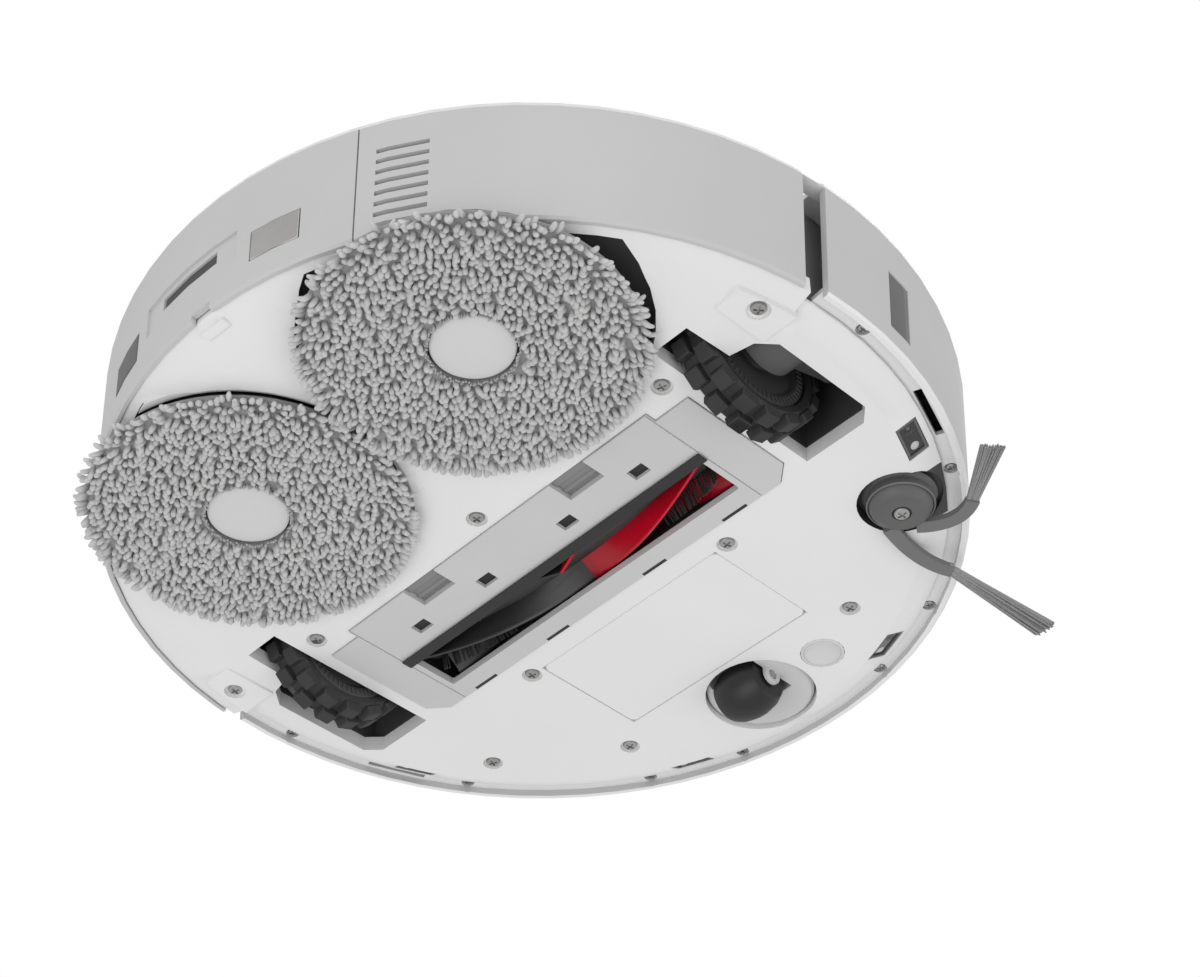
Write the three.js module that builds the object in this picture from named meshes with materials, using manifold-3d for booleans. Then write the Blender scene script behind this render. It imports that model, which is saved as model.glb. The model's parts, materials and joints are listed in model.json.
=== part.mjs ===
// A robot vacuum with two spinning mops, standing on its drive wheels and its caster.
// Millimetres, +Z up. The floor is z = 0 and the origin lies under the middle of the round
// body. The front faces -Y, so the machine's own right-hand side is -X and its rear is +Y.
// Angles round the body are degrees from the rear, growing towards its right-hand side.
import * as THREE from "three";
import { mergeVertices } from "three/addons/utils/BufferGeometryUtils.js";
import Module from "manifold-3d";

const wasm = await Module();
wasm.setup();

// ---------------------------------------------------------------- driving dimensions
const BODY_RADIUS = 175; // round body, at the top of its wall
const BODY_HEIGHT = 80; // deck above the floor
const TURRET_HEIGHT = 18; // laser turret above the deck
const GROUND_CLEARANCE = 14; // underside plate above the floor
const SHELL = 2.4; // moulded shell thickness
const PLATE = 2.5; // thickness of the underside plate and of the deck
const GAP = 0.3; // clearance between pieces that touch
const RUNNING = 0.8; // clearance beside pieces that turn

const WALL_LIFT = 3; // bottom edge of the wall above the underside plate
const WALL_DRAFT = 3.5; // how far the wall leans in from top to bottom
const DECK_EDGE = 6; // depth of the deck's rounded edge
const WALL_END = 81.5; // half angle that the rear wall covers
const BUMPER_END = 95; // half angle that the bumper covers, from the front
const BUMPER_LIFT = 5; // bottom edge of the bumper above the underside plate
const BUMPER_WALL = 3;
const FLANGE_INSET = 12.5; // inner edge of the bumper's flange, in from the body radius
const BACKING_DEPTH = 16; // dark inner wall behind the bumper, in from the body radius
const BEVEL_INSET = 23; // where the flat underside starts to rise, in from the body radius

const WHEEL_RADIUS = 34;
const WHEEL_WIDTH = 16;
const WHEEL_Y = 4;
const WHEEL_INNER_X = 111.5; // tyre's inner face
const HUB_RADIUS = 26;
const ARM_THICKNESS = 13;
const GEARBOX_RADIUS = 15; // round the axle
const PIVOT_RADIUS = 8;
const AXLE_RADIUS = 3;
const ARM_CLEAR = 1.5; // between the tyre and the arm
const ARM_PIVOT_INSET = 2; // pivot behind the tyre's front edge
const ARM_PIVOT_RISE = 10; // pivot above the wheel's axle
const WELL_MARGIN = 5; // free room behind the tyre
const WELL_FRONT_MARGIN = 9; // and before it, for the arm's pivot
const WELL_RIM = 7; // depth of the tray's rim round a wheel opening
const LINER = 1.6;

const CASTER_Y = -130;
const CASTER_CUP_RADIUS = 23.5;
const CASTER_RADIUS = 12.5; // barrel wheel
const CASTER_WIDTH = 23;
const CASTER_TRAIL = 8;
const CASTER_AXLE_RADIUS = 1.8;

const ROLLER_Y = -18;
const ROLLER_RADIUS = 19;
const ROLLER_CORE_RADIUS = 9;
const ROLLER_FINS = 5;
const ROLLER_TURN = 85; // twist of one fin set, degrees
const FIN_PHASE = 10; // where each set's first fin starts at the middle, degrees rearwards from below
const COVER_HALF_LENGTH = 103.5;
const COVER_FRONT = -40;
const COVER_REAR = 23;
const COVER_PROUD = 0.8; // how far the cover stands below the plate
const OPENING_HALF_LENGTH = 83;
const SCRAPER_WIDTH = 5;
const LATCH_X = 43;
const LATCH_WIDTH = 18;
const COVER_WINDOWS = [23.5, 63]; // small windows along the cover, either side of the middle

const MOP_RADIUS = 62.5;
const MOP_CLEAR = 0.4; // from each pad's edge to the plane between them
const MOP_BOTTOM = 8; // raised pad above the floor
const MOP_PILE = 5.5;
const MOP_HOLE_RADIUS = 17;
const MOP_CAP_RADIUS = 16;
const MOP_PLATE_THICKNESS = 2.6;
const MOP_RECESS_MARGIN = 1.5;
const MOP_RECESS_DEPTH = 9;
const MOP_STRIP = 9; // plate left between the mop recess and the brush cover
const MOP_SHIFT = 7.4; // the pair of mops stands this far right of the middle
const MOP_SKEW = 2; // the left mop stands this far behind their common line, the right one before it
const MOP_POST_RADIUS = 6;
const MOP_LIFT = 7.5; // how far the mops come down
const MOP_PIVOT = [20, 40]; // swing pivot from the right pad's centre: inwards, rearwards
const MOP_SWING = 10; // degrees that the right mop can swing outwards

const SIDE_BRUSH = [-119.5, -82];
const SIDE_BRUSH_CUP = 17;
const SIDE_BRUSH_HUB = 13;
const SIDE_BRUSH_ARMS = [
  { reach: 52, heading: 170.6 },
  { reach: 92, heading: 271 },
];

const TURRET_Y = 78;
const TURRET_RADIUS = 37;
const ROTOR_RADIUS = 25;
const LID_HALF_WIDTH = 68;
const LID_FRONT = -116;
const LID_REAR = -43;
const LID_THICKNESS = 2;
const BUTTON_RADIUS = 8;
const BUTTON_X = 13;
const BUTTON_Y = 8;
const BATTERY_HALF_WIDTH = 46;
const BATTERY_HEIGHT = 20;
const DOOR_HALF_WIDTH = 50;
const DOOR_REAR = -51;
const DOOR_FRONT = -104;

// ---------------------------------------------------------------- levels and places
const PLATE_BOTTOM = GROUND_CLEARANCE;
const PLATE_TOP = PLATE_BOTTOM + PLATE;
const WALL_BOTTOM = PLATE_BOTTOM + WALL_LIFT;
const WALL_TOP = BODY_HEIGHT - DECK_EDGE;
const DECK_BOTTOM = BODY_HEIGHT - PLATE;
const RECESS_TOP = PLATE_BOTTOM + MOP_RECESS_DEPTH;
const TRAY_TOP = RECESS_TOP + PLATE;
const BEVEL_START = BODY_RADIUS - BEVEL_INSET;
const FLANGE_RADIUS = BODY_RADIUS - FLANGE_INSET;
const FLANGE_BOTTOM = PLATE_BOTTOM + 8.3;
const LIP_TOP = FLANGE_BOTTOM - 0.5;
const BACKING_RADIUS = BODY_RADIUS - BACKING_DEPTH;
const TRAY_RIM = BODY_RADIUS - WALL_DRAFT - SHELL - GAP; // tray's edge inside the rear wall

const WHEEL_OUTER_X = WHEEL_INNER_X + WHEEL_WIDTH;
const ARM_INNER_X = WHEEL_OUTER_X + ARM_CLEAR;
const ARM_OUTER_X = ARM_INNER_X + ARM_THICKNESS;
const WELL_INNER_X = WHEEL_INNER_X - 1.2;
const WELL_OUTER_X = ARM_OUTER_X + 2.9;
const WELL_FRONT = WHEEL_Y - WHEEL_RADIUS - WELL_FRONT_MARGIN;
const WELL_REAR = WHEEL_Y + WHEEL_RADIUS + WELL_MARGIN;
const WELL_TOP = 2 * WHEEL_RADIUS + 5;
const ARM_PIVOT_Y = WHEEL_Y - WHEEL_RADIUS + ARM_PIVOT_INSET;
const ARM_PIVOT_Z = WHEEL_RADIUS + ARM_PIVOT_RISE;

const ROLLER_Z = PLATE_BOTTOM - 1.5 + ROLLER_RADIUS;
const CHAMBER_RADIUS = ROLLER_RADIUS + 2.5;
const FIN_HALF_LENGTH = OPENING_HALF_LENGTH - 1.5;
const CORE_HALF_LENGTH = OPENING_HALF_LENGTH + 3;
const COVER_TOP = PLATE_TOP;
const OPENING_HALF_WIDTH =
  Math.sqrt(ROLLER_RADIUS ** 2 - (ROLLER_Z - COVER_TOP) ** 2) + RUNNING;

const MOP_RECESS = MOP_RADIUS + MOP_RECESS_MARGIN;
const MOP_X = MOP_RADIUS + MOP_CLEAR;
const MOP_Y = COVER_REAR + MOP_STRIP + MOP_RECESS;
const MOP_PLATE_BOTTOM = MOP_BOTTOM + MOP_PILE + GAP;
const MOP_PLATE_TOP = MOP_PLATE_BOTTOM + MOP_PLATE_THICKNESS;
const [RIGHT_MOP, LEFT_MOP] = [-1, 1].map((side) => [
  side * MOP_X - MOP_SHIFT, MOP_Y + side * MOP_SKEW,
]);
const MOP_PIVOT_X = RIGHT_MOP[0] + MOP_PIVOT[0];
const MOP_PIVOT_Y = RIGHT_MOP[1] + MOP_PIVOT[1];
const CARRIAGE_BOTTOM = TRAY_TOP + MOP_LIFT + 2;
const CARRIAGE_TOP = CARRIAGE_BOTTOM + 16;
const CASTER_CUP_TOP = 2 * CASTER_RADIUS + 4;
const WELL_RIM_TOP = PLATE_BOTTOM + WELL_RIM;

const LAP = 0.05; // degrees by which the tray's front and rear parts lap each other
const SEGMENTS = 72; // round the body
const FINE = 36; // round wheels and mops
const SMALL = 16; // round small pieces

// ---------------------------------------------------------------- materials
function plastic(color, roughness = 0.45, metalness = 0) {
  return new THREE.MeshStandardMaterial({ color, roughness, metalness });
}
const WHITE = plastic(0xe9e9ea);
const GREY = plastic(0xc6c6c8);
const DARK = plastic(0x2b2b2d, 0.55);
const CHARCOAL = plastic(0x45464a, 0.6);
const BLACK_GLASS = plastic(0x101013, 0.1);
const RUBBER = plastic(0x1c1c1d, 0.85);
const RED_RUBBER = plastic(0xc4071f, 0.6);
const BRISTLE = plastic(0x6b6c6e, 0.8);
const PILE = plastic(0xa9a9aa, 0.95);
const METAL = plastic(0xa8a9ab, 0.35, 0.9);
const BOARD = plastic(0x1f5a3a, 0.6);
const CELLS = plastic(0x2f6fb0, 0.5);

// ---------------------------------------------------------------- solids and booleans
// A closed geometry as a manifold solid; an inside-out one has its faces turned round.
function solid(geometry) {
  const loose = geometry.index ? geometry.toNonIndexed() : geometry;
  const bare = new THREE.BufferGeometry();
  bare.setAttribute("position", loose.getAttribute("position").clone());
  const merged = mergeVertices(bare, 1e-4);
  const vertProperties = new Float32Array(merged.getAttribute("position").array);
  const triVerts = new Uint32Array(merged.index.array);
  const build = () => new wasm.Manifold(new wasm.Mesh({ numProp: 3, vertProperties, triVerts }));
  const first = build();
  if (first.volume() >= 0) return first;
  for (let i = 0; i < triVerts.length; i += 3) {
    [triVerts[i + 1], triVerts[i + 2]] = [triVerts[i + 2], triVerts[i + 1]];
  }
  return build();
}

function geometryOf(manifold) {
  const mesh = manifold.getMesh();
  const geometry = new THREE.BufferGeometry();
  const positions = new Float32Array(mesh.vertProperties);
  geometry.setAttribute("position", new THREE.BufferAttribute(positions, 3));
  geometry.setIndex(new THREE.BufferAttribute(new Uint32Array(mesh.triVerts), 1));
  return geometry;
}

function fuse(...shapes) {
  return geometryOf(shapes.map(solid).reduce((all, next) => all.add(next)));
}

function cut(shape, ...tools) {
  return geometryOf(tools.map(solid).reduce((left, tool) => left.subtract(tool), solid(shape)));
}

function common(shape, tool) {
  return geometryOf(solid(shape).intersect(solid(tool)));
}

// ---------------------------------------------------------------- basic shapes
function block(x0, x1, y0, y1, z0, z1) {
  const box = new THREE.BoxGeometry(x1 - x0, y1 - y0, z1 - z0);
  return box.translate((x0 + x1) / 2, (y0 + y1) / 2, (z0 + z1) / 2);
}

// An upright cylinder between two levels.
function post(radius, z0, z1, x = 0, y = 0, segments = SMALL) {
  const rod = new THREE.CylinderGeometry(radius, radius, z1 - z0, segments);
  return rod.rotateX(Math.PI / 2).translate(x, y, (z0 + z1) / 2);
}

// A cylinder along X.
function barrel(radius, x0, x1, y = 0, z = 0, segments = SMALL) {
  const rod = new THREE.CylinderGeometry(radius, radius, x1 - x0, segments);
  return rod.rotateZ(Math.PI / 2).translate((x0 + x1) / 2, y, z);
}

// A solid of revolution about Z. The outline is a list of [radius, level] pairs.
function turned(outline, segments = SEGMENTS) {
  const points = outline.map(([r, z]) => new THREE.Vector2(r, z));
  const closes = outline[0][0] > 0;
  if (closes) points.push(points[0].clone());
  return new THREE.LatheGeometry(points, segments).rotateX(Math.PI / 2);
}

function ring(outer, inner, z0, z1, segments = SEGMENTS) {
  const outline = [[inner, z0], [outer, z0], [outer, z1], [inner, z1]];
  return turned(outline, segments);
}

function prism(shape, z0, z1, curveSegments = 4) {
  const settings = { depth: z1 - z0, bevelEnabled: false, curveSegments };
  return new THREE.ExtrudeGeometry(shape, settings).translate(0, 0, z0);
}

function flatShape(points) {
  return new THREE.Shape(points.map(([x, y]) => new THREE.Vector2(x, y)));
}

function roundedRect(x0, x1, y0, y1, r) {
  const shape = new THREE.Shape();
  shape.moveTo(x0 + r, y0);
  shape.lineTo(x1 - r, y0);
  shape.absarc(x1 - r, y0 + r, r, -Math.PI / 2, 0);
  shape.lineTo(x1, y1 - r);
  shape.absarc(x1 - r, y1 - r, r, 0, Math.PI / 2);
  shape.lineTo(x0 + r, y1);
  shape.absarc(x0 + r, y1 - r, r, Math.PI / 2, Math.PI);
  shape.lineTo(x0, y0 + r);
  shape.absarc(x0 + r, y0 + r, r, Math.PI, Math.PI * 1.5);
  return shape;
}

function polar(radius, degrees) {
  const a = THREE.MathUtils.degToRad(degrees);
  return [-radius * Math.sin(a), radius * Math.cos(a)];
}

// A slice of the round body between two angles, used to keep or to cut a stretch of it.
function slice(from, to, z0, z1, radius = BODY_RADIUS * 1.3) {
  const steps = Math.max(2, Math.ceil((to - from) / 15));
  const points = [[0, 0]];
  for (let i = 0; i <= steps; i++) points.push(polar(radius, from + ((to - from) * i) / steps));
  return prism(flatShape(points), z0, z1);
}

// A cross-section carried along Z and turned steadily on the way.
function twisted(section, length, steps, turn) {
  const count = section.length;
  const positions = [];
  const at = (i, step) => {
    const a = THREE.MathUtils.degToRad((turn * step) / steps);
    const [x, y] = section[i % count];
    const z = (length * step) / steps;
    return [x * Math.cos(a) - y * Math.sin(a), x * Math.sin(a) + y * Math.cos(a), z];
  };
  for (let step = 0; step < steps; step++) {
    for (let i = 0; i < count; i++) {
      const [a, b] = [at(i, step), at(i + 1, step)];
      const [c, d] = [at(i + 1, step + 1), at(i, step + 1)];
      positions.push(...a, ...b, ...c, ...a, ...c, ...d);
    }
  }
  for (let i = 0; i < count; i++) {
    positions.push(0, 0, 0, ...at(i + 1, 0), ...at(i, 0));
    positions.push(0, 0, length, ...at(i, steps), ...at(i + 1, steps));
  }
  const geometry = new THREE.BufferGeometry();
  geometry.setAttribute("position", new THREE.Float32BufferAttribute(positions, 3));
  return geometry;
}

// ---------------------------------------------------------------- scene graph helpers
const robot = new THREE.Group();

function piece(name, geometry, material, parent = robot) {
  const mesh = new THREE.Mesh(geometry, material.clone());
  mesh.name = name;
  parent.add(mesh);
  return mesh;
}

function group(x, y, z, parent = robot) {
  const holder = new THREE.Group();
  holder.position.set(x, y, z);
  parent.add(holder);
  return holder;
}

function sideName(side) {
  return side < 0 ? "right" : "left";
}

function mirrored(x0, x1, side) {
  return side < 0 ? [-x1, -x0] : [x0, x1];
}

// ---------------------------------------------------------------- outer shell
// The wall's outer radius at a level.
function wallRadius(z) {
  return BODY_RADIUS - (WALL_DRAFT * (WALL_TOP - z)) / (WALL_TOP - WALL_BOTTOM);
}

// A band of the drafted wall; its faces lie `proud` outside the wall and `depth` behind it.
function wallBand(z0, z1, proud, depth) {
  const [low, high] = [wallRadius(z0), wallRadius(z1)];
  return turned([[low - depth, z0], [low + proud, z0], [high + proud, z1], [high - depth, z1]]);
}

// A patch of that band between two angles.
function wallPatch(from, to, z0, z1, proud, depth) {
  return common(wallBand(z0, z1, proud, depth), slice(from, to, z0 - 1, z1 + 1));
}

const CONTACT = { from: 11.3, to: 18.7, low: WALL_BOTTOM + 11.5, high: WALL_BOTTOM + 26.5 };
const PORT = { half: 5.4, low: WALL_BOTTOM + 23, high: WALL_BOTTOM + 29 };
const LOUVRES = { from: 28.4, to: 35, count: 8, height: 2.2, low: WALL_BOTTOM + 3.5, pitch: 5.4 };

function sideWall() {
  const chamfer = 1;
  const shell = turned([
    [wallRadius(WALL_BOTTOM) - SHELL, WALL_BOTTOM],
    [wallRadius(WALL_BOTTOM) - chamfer, WALL_BOTTOM],
    [wallRadius(WALL_BOTTOM), WALL_BOTTOM + chamfer],
    [BODY_RADIUS, WALL_TOP],
    [BODY_RADIUS - SHELL, WALL_TOP],
  ]);
  // The wall's two ends close the gap beside the bumper with a web.
  const web = ring(BODY_RADIUS - WALL_DRAFT, BACKING_RADIUS + GAP, TRAY_TOP + GAP, WALL_TOP);
  const ends = [-1, 1].map((s) => {
    const edges = [s * WALL_END, s * (WALL_END - 0.9)].sort((a, b) => a - b);
    return common(web, slice(edges[0], edges[1], 0, BODY_HEIGHT));
  });
  const openings = [-1, 1].map((s) => {
    const edges = [s * CONTACT.from, s * CONTACT.to].sort((a, b) => a - b);
    return wallPatch(edges[0], edges[1], CONTACT.low, CONTACT.high, 3, SHELL + 3);
  });
  openings.push(wallPatch(-PORT.half, PORT.half, PORT.low, PORT.high, 3, SHELL + 3));
  for (let i = 0; i < LOUVRES.count; i++) {
    const low = LOUVRES.low + i * LOUVRES.pitch;
    const high = low + LOUVRES.height;
    openings.push(wallPatch(LOUVRES.from, LOUVRES.to, low, high, 3, SHELL + 3));
  }
  // A shallow recess surrounds the docking slot.
  openings.push(wallPatch(-9, 9, PORT.low - 6, PORT.high + 3, 3, 1));
  const wrap = common(shell, slice(-WALL_END, WALL_END, 0, BODY_HEIGHT));
  return cut(fuse(wrap, ...ends), ...openings);
}

piece("side_wall", sideWall(), GREY);

for (const side of [-1, 1]) {
  const edges = [side * -(CONTACT.from + 0.15), side * -(CONTACT.to - 0.15)].sort((a, b) => a - b);
  const plateBody = wallPatch(
    edges[0], edges[1], CONTACT.low + GAP, CONTACT.high - GAP, 0.2, SHELL + 1.5,
  );
  piece("charge_contact_" + sideName(side), plateBody, side < 0 ? METAL : CHARCOAL);
}

function dockingPort() {
  const half = PORT.half - 0.15;
  return wallPatch(-half, half, PORT.low + GAP, PORT.high - GAP, -1.6, SHELL + 6);
}
piece("docking_port", dockingPort(), DARK);

function bumperBacking() {
  const reach = 180 - BUMPER_END - 7;
  const wall = ring(BACKING_RADIUS, BACKING_RADIUS - SHELL, LIP_TOP + GAP, DECK_BOTTOM - GAP);
  return common(wall, slice(reach, 360 - reach, 0, BODY_HEIGHT));
}
piece("bumper_backing", bumperBacking(), CHARCOAL);

// ---------------------------------------------------------------- underside tray
// Room for both mops, with the right one swung out by up to MOP_SWING.
function mopRoom(radius, z0, z1) {
  const discs = [post(radius, z0, z1, ...LEFT_MOP, FINE)];
  const [dx, dy] = MOP_PIVOT;
  for (const share of [0, 1 / 3, 2 / 3, 1]) {
    const a = THREE.MathUtils.degToRad(MOP_SWING * share);
    const x = MOP_PIVOT_X - dx * Math.cos(a) - dy * Math.sin(a);
    const y = MOP_PIVOT_Y - dy * Math.cos(a) + dx * Math.sin(a);
    discs.push(post(radius, z0, z1, x, y, FINE));
  }
  return fuse(...discs);
}

function coverOutline(grow) {
  const x = COVER_HALF_LENGTH + grow;
  const front = COVER_FRONT - grow;
  const rear = COVER_REAR + grow;
  const step = 5; // the cover's rear edge steps forward near both ends
  const shoulder = COVER_HALF_LENGTH - 17 + grow;
  return flatShape([
    [-x, front + 7], [-x + 8, front], [x - 8, front], [x, front + 7],
    [x, rear - step], [shoulder, rear - step], [shoulder, rear],
    [-shoulder, rear], [-shoulder, rear - step], [-x, rear - step],
  ]);
}

// The wheel opening is wide in front, for the arm, and narrow behind.
function wellOutline(side, grow) {
  const inner = WELL_INNER_X - grow;
  const outer = WELL_OUTER_X + grow;
  const narrow = WHEEL_OUTER_X + grow;
  const armEnd = WHEEL_Y + GEARBOX_RADIUS - 6;
  const points = [
    [inner, WELL_FRONT - grow], [outer - 6, WELL_FRONT - grow], [outer, WELL_FRONT + 6],
    [outer, armEnd], [outer - 6, armEnd + 7], [narrow + 1, armEnd + 9],
    [narrow, WELL_REAR + grow], [inner, WELL_REAR + grow],
  ];
  return flatShape(points.map(([x, y]) => [side * x, y]));
}

const CLIFF_SENSORS = [
  { name: "cliff_sensor_rear_right", degrees: 113 },
  { name: "cliff_sensor_front_right", degrees: 159 },
  { name: "cliff_sensor_front_left", degrees: 201 },
  { name: "cliff_sensor_rear_left", degrees: 247 },
];
const SENSOR = { length: 17, width: 9, height: 2.2, inset: 0.3, eyeDepth: 1 };
const BEVEL_WIDTH = FLANGE_RADIUS + 0.5 - BEVEL_START;
const BEVEL_RISE = LIP_TOP - 1.4 - PLATE_BOTTOM;
const CARPET_SENSOR = { x: -36.8, y: -128, radius: 9 };

// Lays a shape on the plate's bevelled edge: its z = 0 plane comes to lie along the bevel,
// a little inside it, and its +Y side points outwards.
function onBevel(shape, degrees) {
  const radius = BEVEL_START + 0.4 * BEVEL_WIDTH;
  const level = PLATE_BOTTOM + 0.4 * BEVEL_RISE + SENSOR.inset;
  const [x, y] = polar(radius, degrees);
  shape.rotateX(Math.atan2(BEVEL_RISE, BEVEL_WIDTH));
  return shape.rotateZ(THREE.MathUtils.degToRad(degrees)).translate(x, y, level);
}

function sensorBlock(grow, z0, z1) {
  const [x, y] = [SENSOR.length / 2 + grow, SENSOR.width / 2 + grow];
  return block(-x, x, -y, y, z0, z1);
}

function basePlate() {
  const frontFrom = 180 - BUMPER_END - 2;
  const frontTo = 360 - frontFrom;
  const front = slice(frontFrom, frontTo, 0, BODY_HEIGHT);
  const frontLonger = slice(frontFrom - LAP, frontTo + LAP, 0, BODY_HEIGHT);
  const frontShorter = slice(frontFrom + LAP, frontTo - LAP, 0, BODY_HEIGHT);
  const rearBlank = turned([
    [0, PLATE_BOTTOM], [BEVEL_START, PLATE_BOTTOM], [TRAY_RIM, WALL_BOTTOM + 1],
    [TRAY_RIM, TRAY_TOP], [0, TRAY_TOP],
  ]);
  const frontBlank = turned([
    [0, PLATE_BOTTOM], [BEVEL_START, PLATE_BOTTOM],
    [BEVEL_START + BEVEL_WIDTH, PLATE_BOTTOM + BEVEL_RISE],
    [BEVEL_START + BEVEL_WIDTH, LIP_TOP], [BACKING_RADIUS - SHELL - 2, LIP_TOP],
    [BACKING_RADIUS - SHELL - 2, TRAY_TOP], [0, TRAY_TOP],
  ]);
  const blank = fuse(cut(rearBlank, front), common(frontBlank, frontLonger));
  const rearHollow = turned([
    [0, PLATE_TOP], [BEVEL_START - 1, PLATE_TOP], [TRAY_RIM - SHELL, WALL_BOTTOM + 3.5],
    [TRAY_RIM - SHELL, TRAY_TOP + 1], [0, TRAY_TOP + 1],
  ]);
  const inner = BACKING_RADIUS - SHELL - 4;
  const frontHollow = turned([
    [0, PLATE_TOP], [BEVEL_START - 1, PLATE_TOP], [inner, PLATE_TOP + 1.6],
    [inner, TRAY_TOP + 1], [0, TRAY_TOP + 1],
  ]);
  const [brushX, brushY] = SIDE_BRUSH;
  const hollow = cut(
    fuse(cut(rearHollow, frontShorter), common(frontHollow, front)),
    mopRoom(MOP_RECESS + SHELL, 0, BODY_HEIGHT),
    post(CASTER_CUP_RADIUS + SHELL, 0, BODY_HEIGHT, 0, CASTER_Y, FINE),
    post(SIDE_BRUSH_CUP + SHELL, 0, BODY_HEIGHT, brushX, brushY, FINE),
    ...[-1, 1].map((s) => prism(wellOutline(s, SHELL), 0, WELL_RIM_TOP)),
  );
  const casterTower = post(
    CASTER_CUP_RADIUS + SHELL, PLATE_TOP + 2.5, CASTER_CUP_TOP + SHELL, 0, CASTER_Y, FINE,
  );
  const recess = common(
    mopRoom(MOP_RECESS, 0, RECESS_TOP),
    post(TRAY_RIM - 4, 0, BODY_HEIGHT, 0, 0, SEGMENTS),
  );
  const cuts = [
    recess,
    prism(coverOutline(GAP), 0, BODY_HEIGHT),
    post(CASTER_CUP_RADIUS, 0, CASTER_CUP_TOP, 0, CASTER_Y, FINE),
    post(3.3, 0, BODY_HEIGHT, 0, CASTER_Y),
    post(SIDE_BRUSH_CUP, 0, LIP_TOP - 1.6, brushX, brushY, FINE),
    post(4.5, 0, BODY_HEIGHT, brushX, brushY),
    post(CARPET_SENSOR.radius + GAP, 0, BODY_HEIGHT, CARPET_SENSOR.x, CARPET_SENSOR.y),
    post(MOP_POST_RADIUS + 0.5, 0, BODY_HEIGHT, ...LEFT_MOP),
    post(MOP_POST_RADIUS + 0.5, 0, BODY_HEIGHT, MOP_PIVOT_X, MOP_PIVOT_Y),
    block(
      -DOOR_HALF_WIDTH - GAP, DOOR_HALF_WIDTH + GAP, DOOR_FRONT - GAP, DOOR_REAR + GAP,
      0, PLATE_BOTTOM + 1.7,
    ),
    block(
      5 - DOOR_HALF_WIDTH, DOOR_HALF_WIDTH - 5, DOOR_FRONT + 5, DOOR_REAR - 5, 0, PLATE_TOP + 1,
    ),
  ];
  for (const side of [-1, 1]) {
    cuts.push(prism(wellOutline(side, 0), 0, WELL_RIM_TOP + 1));
    const [x0, x1] = mirrored(WELL_INNER_X - LINER - GAP, WELL_OUTER_X + LINER + GAP, side);
    const [y0, y1] = [WELL_FRONT - LINER - GAP, WELL_REAR + LINER + GAP];
    cuts.push(block(x0, x1, y0, y1, WELL_RIM_TOP, BODY_HEIGHT));
  }
  for (const { degrees } of CLIFF_SENSORS) {
    cuts.push(onBevel(sensorBlock(GAP, -SENSOR.width, SENSOR.height + GAP), degrees));
  }
  return cut(fuse(cut(blank, hollow), casterTower), ...cuts);
}
piece("base_plate", basePlate(), WHITE);

for (const side of [-1, 1]) {
  const [x0, x1] = mirrored(WELL_INNER_X - LINER, WELL_OUTER_X + LINER, side);
  const [i0, i1] = mirrored(WELL_INNER_X, WELL_OUTER_X, side);
  const outer = block(
    x0, x1, WELL_FRONT - LINER, WELL_REAR + LINER, WELL_RIM_TOP + GAP, WELL_TOP + LINER,
  );
  const inner = block(i0, i1, WELL_FRONT, WELL_REAR, 0, WELL_TOP);
  piece("wheel_well_" + sideName(side), cut(outer, inner), CHARCOAL);
}

for (const { name, degrees } of CLIFF_SENSORS) {
  const eye = (shift) => block(shift - 3, shift + 3, -2.5, 2.5, -1, SENSOR.eyeDepth);
  const housing = cut(sensorBlock(0, 0, SENSOR.height), eye(-4), eye(4));
  piece(name, onBevel(housing, degrees), BLACK_GLASS);
}

const carpet = post(
  CARPET_SENSOR.radius, PLATE_BOTTOM - 0.3, PLATE_TOP + 6, CARPET_SENSOR.x, CARPET_SENSOR.y, FINE,
);
piece("carpet_sensor", carpet, WHITE);

function batteryDoor() {
  const top = PLATE_BOTTOM + 1.7 - GAP;
  const shape = roundedRect(-DOOR_HALF_WIDTH, DOOR_HALF_WIDTH, DOOR_FRONT, DOOR_REAR, 3);
  return prism(shape, PLATE_BOTTOM, top);
}
piece("battery_door", batteryDoor(), WHITE);

// ---------------------------------------------------------------- bumper
const WINDOW_SIDE = { from: 96.6, to: 101, low: WALL_BOTTOM + 11, high: WALL_BOTTOM + 40 };
const WINDOW_FRONT = { from: 168, to: 192, low: WALL_BOTTOM + 20, high: WALL_BOTTOM + 42 };

function bumperShell() {
  const bottom = PLATE_BOTTOM + BUMPER_LIFT;
  const top = WALL_TOP - GAP;
  const inner = (z) => wallRadius(z) - BUMPER_WALL;
  const shell = turned([
    [inner(bottom), bottom], [wallRadius(bottom) - 1, bottom],
    [wallRadius(bottom), bottom + 1], [wallRadius(top), top], [inner(top), top],
  ]);
  const flange = ring(
    wallRadius(bottom) - 1.5, FLANGE_RADIUS + GAP, FLANGE_BOTTOM, FLANGE_BOTTOM + 2,
  );
  const reach = 180 - BUMPER_END;
  const half = slice(reach, 360 - reach, 0, BODY_HEIGHT);
  const holes = [WINDOW_SIDE, WINDOW_FRONT].map((w) =>
    wallPatch(w.from, w.to, w.low, w.high, 3, BUMPER_WALL + 3),
  );
  return cut(common(fuse(shell, flange), half), ...holes);
}

function bumperWindow(w) {
  const trim = 0.12; // degrees of clearance at each end
  const [low, high] = [w.low + GAP, w.high - GAP];
  return wallPatch(w.from + trim, w.to - trim, low, high, -0.4, BUMPER_WALL);
}
piece("bumper_shell", bumperShell(), GREY);
piece("bumper_side_window", bumperWindow(WINDOW_SIDE), BLACK_GLASS);
piece("bumper_front_window", bumperWindow(WINDOW_FRONT), BLACK_GLASS);

// ---------------------------------------------------------------- deck, lid, buttons
const BIN = {
  half: LID_HALF_WIDTH - 6, front: LID_FRONT + 6, rear: LID_REAR - 5,
  bottom: PLATE_TOP + BATTERY_HEIGHT + 4, top: BODY_HEIGHT - 4,
};

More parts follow.
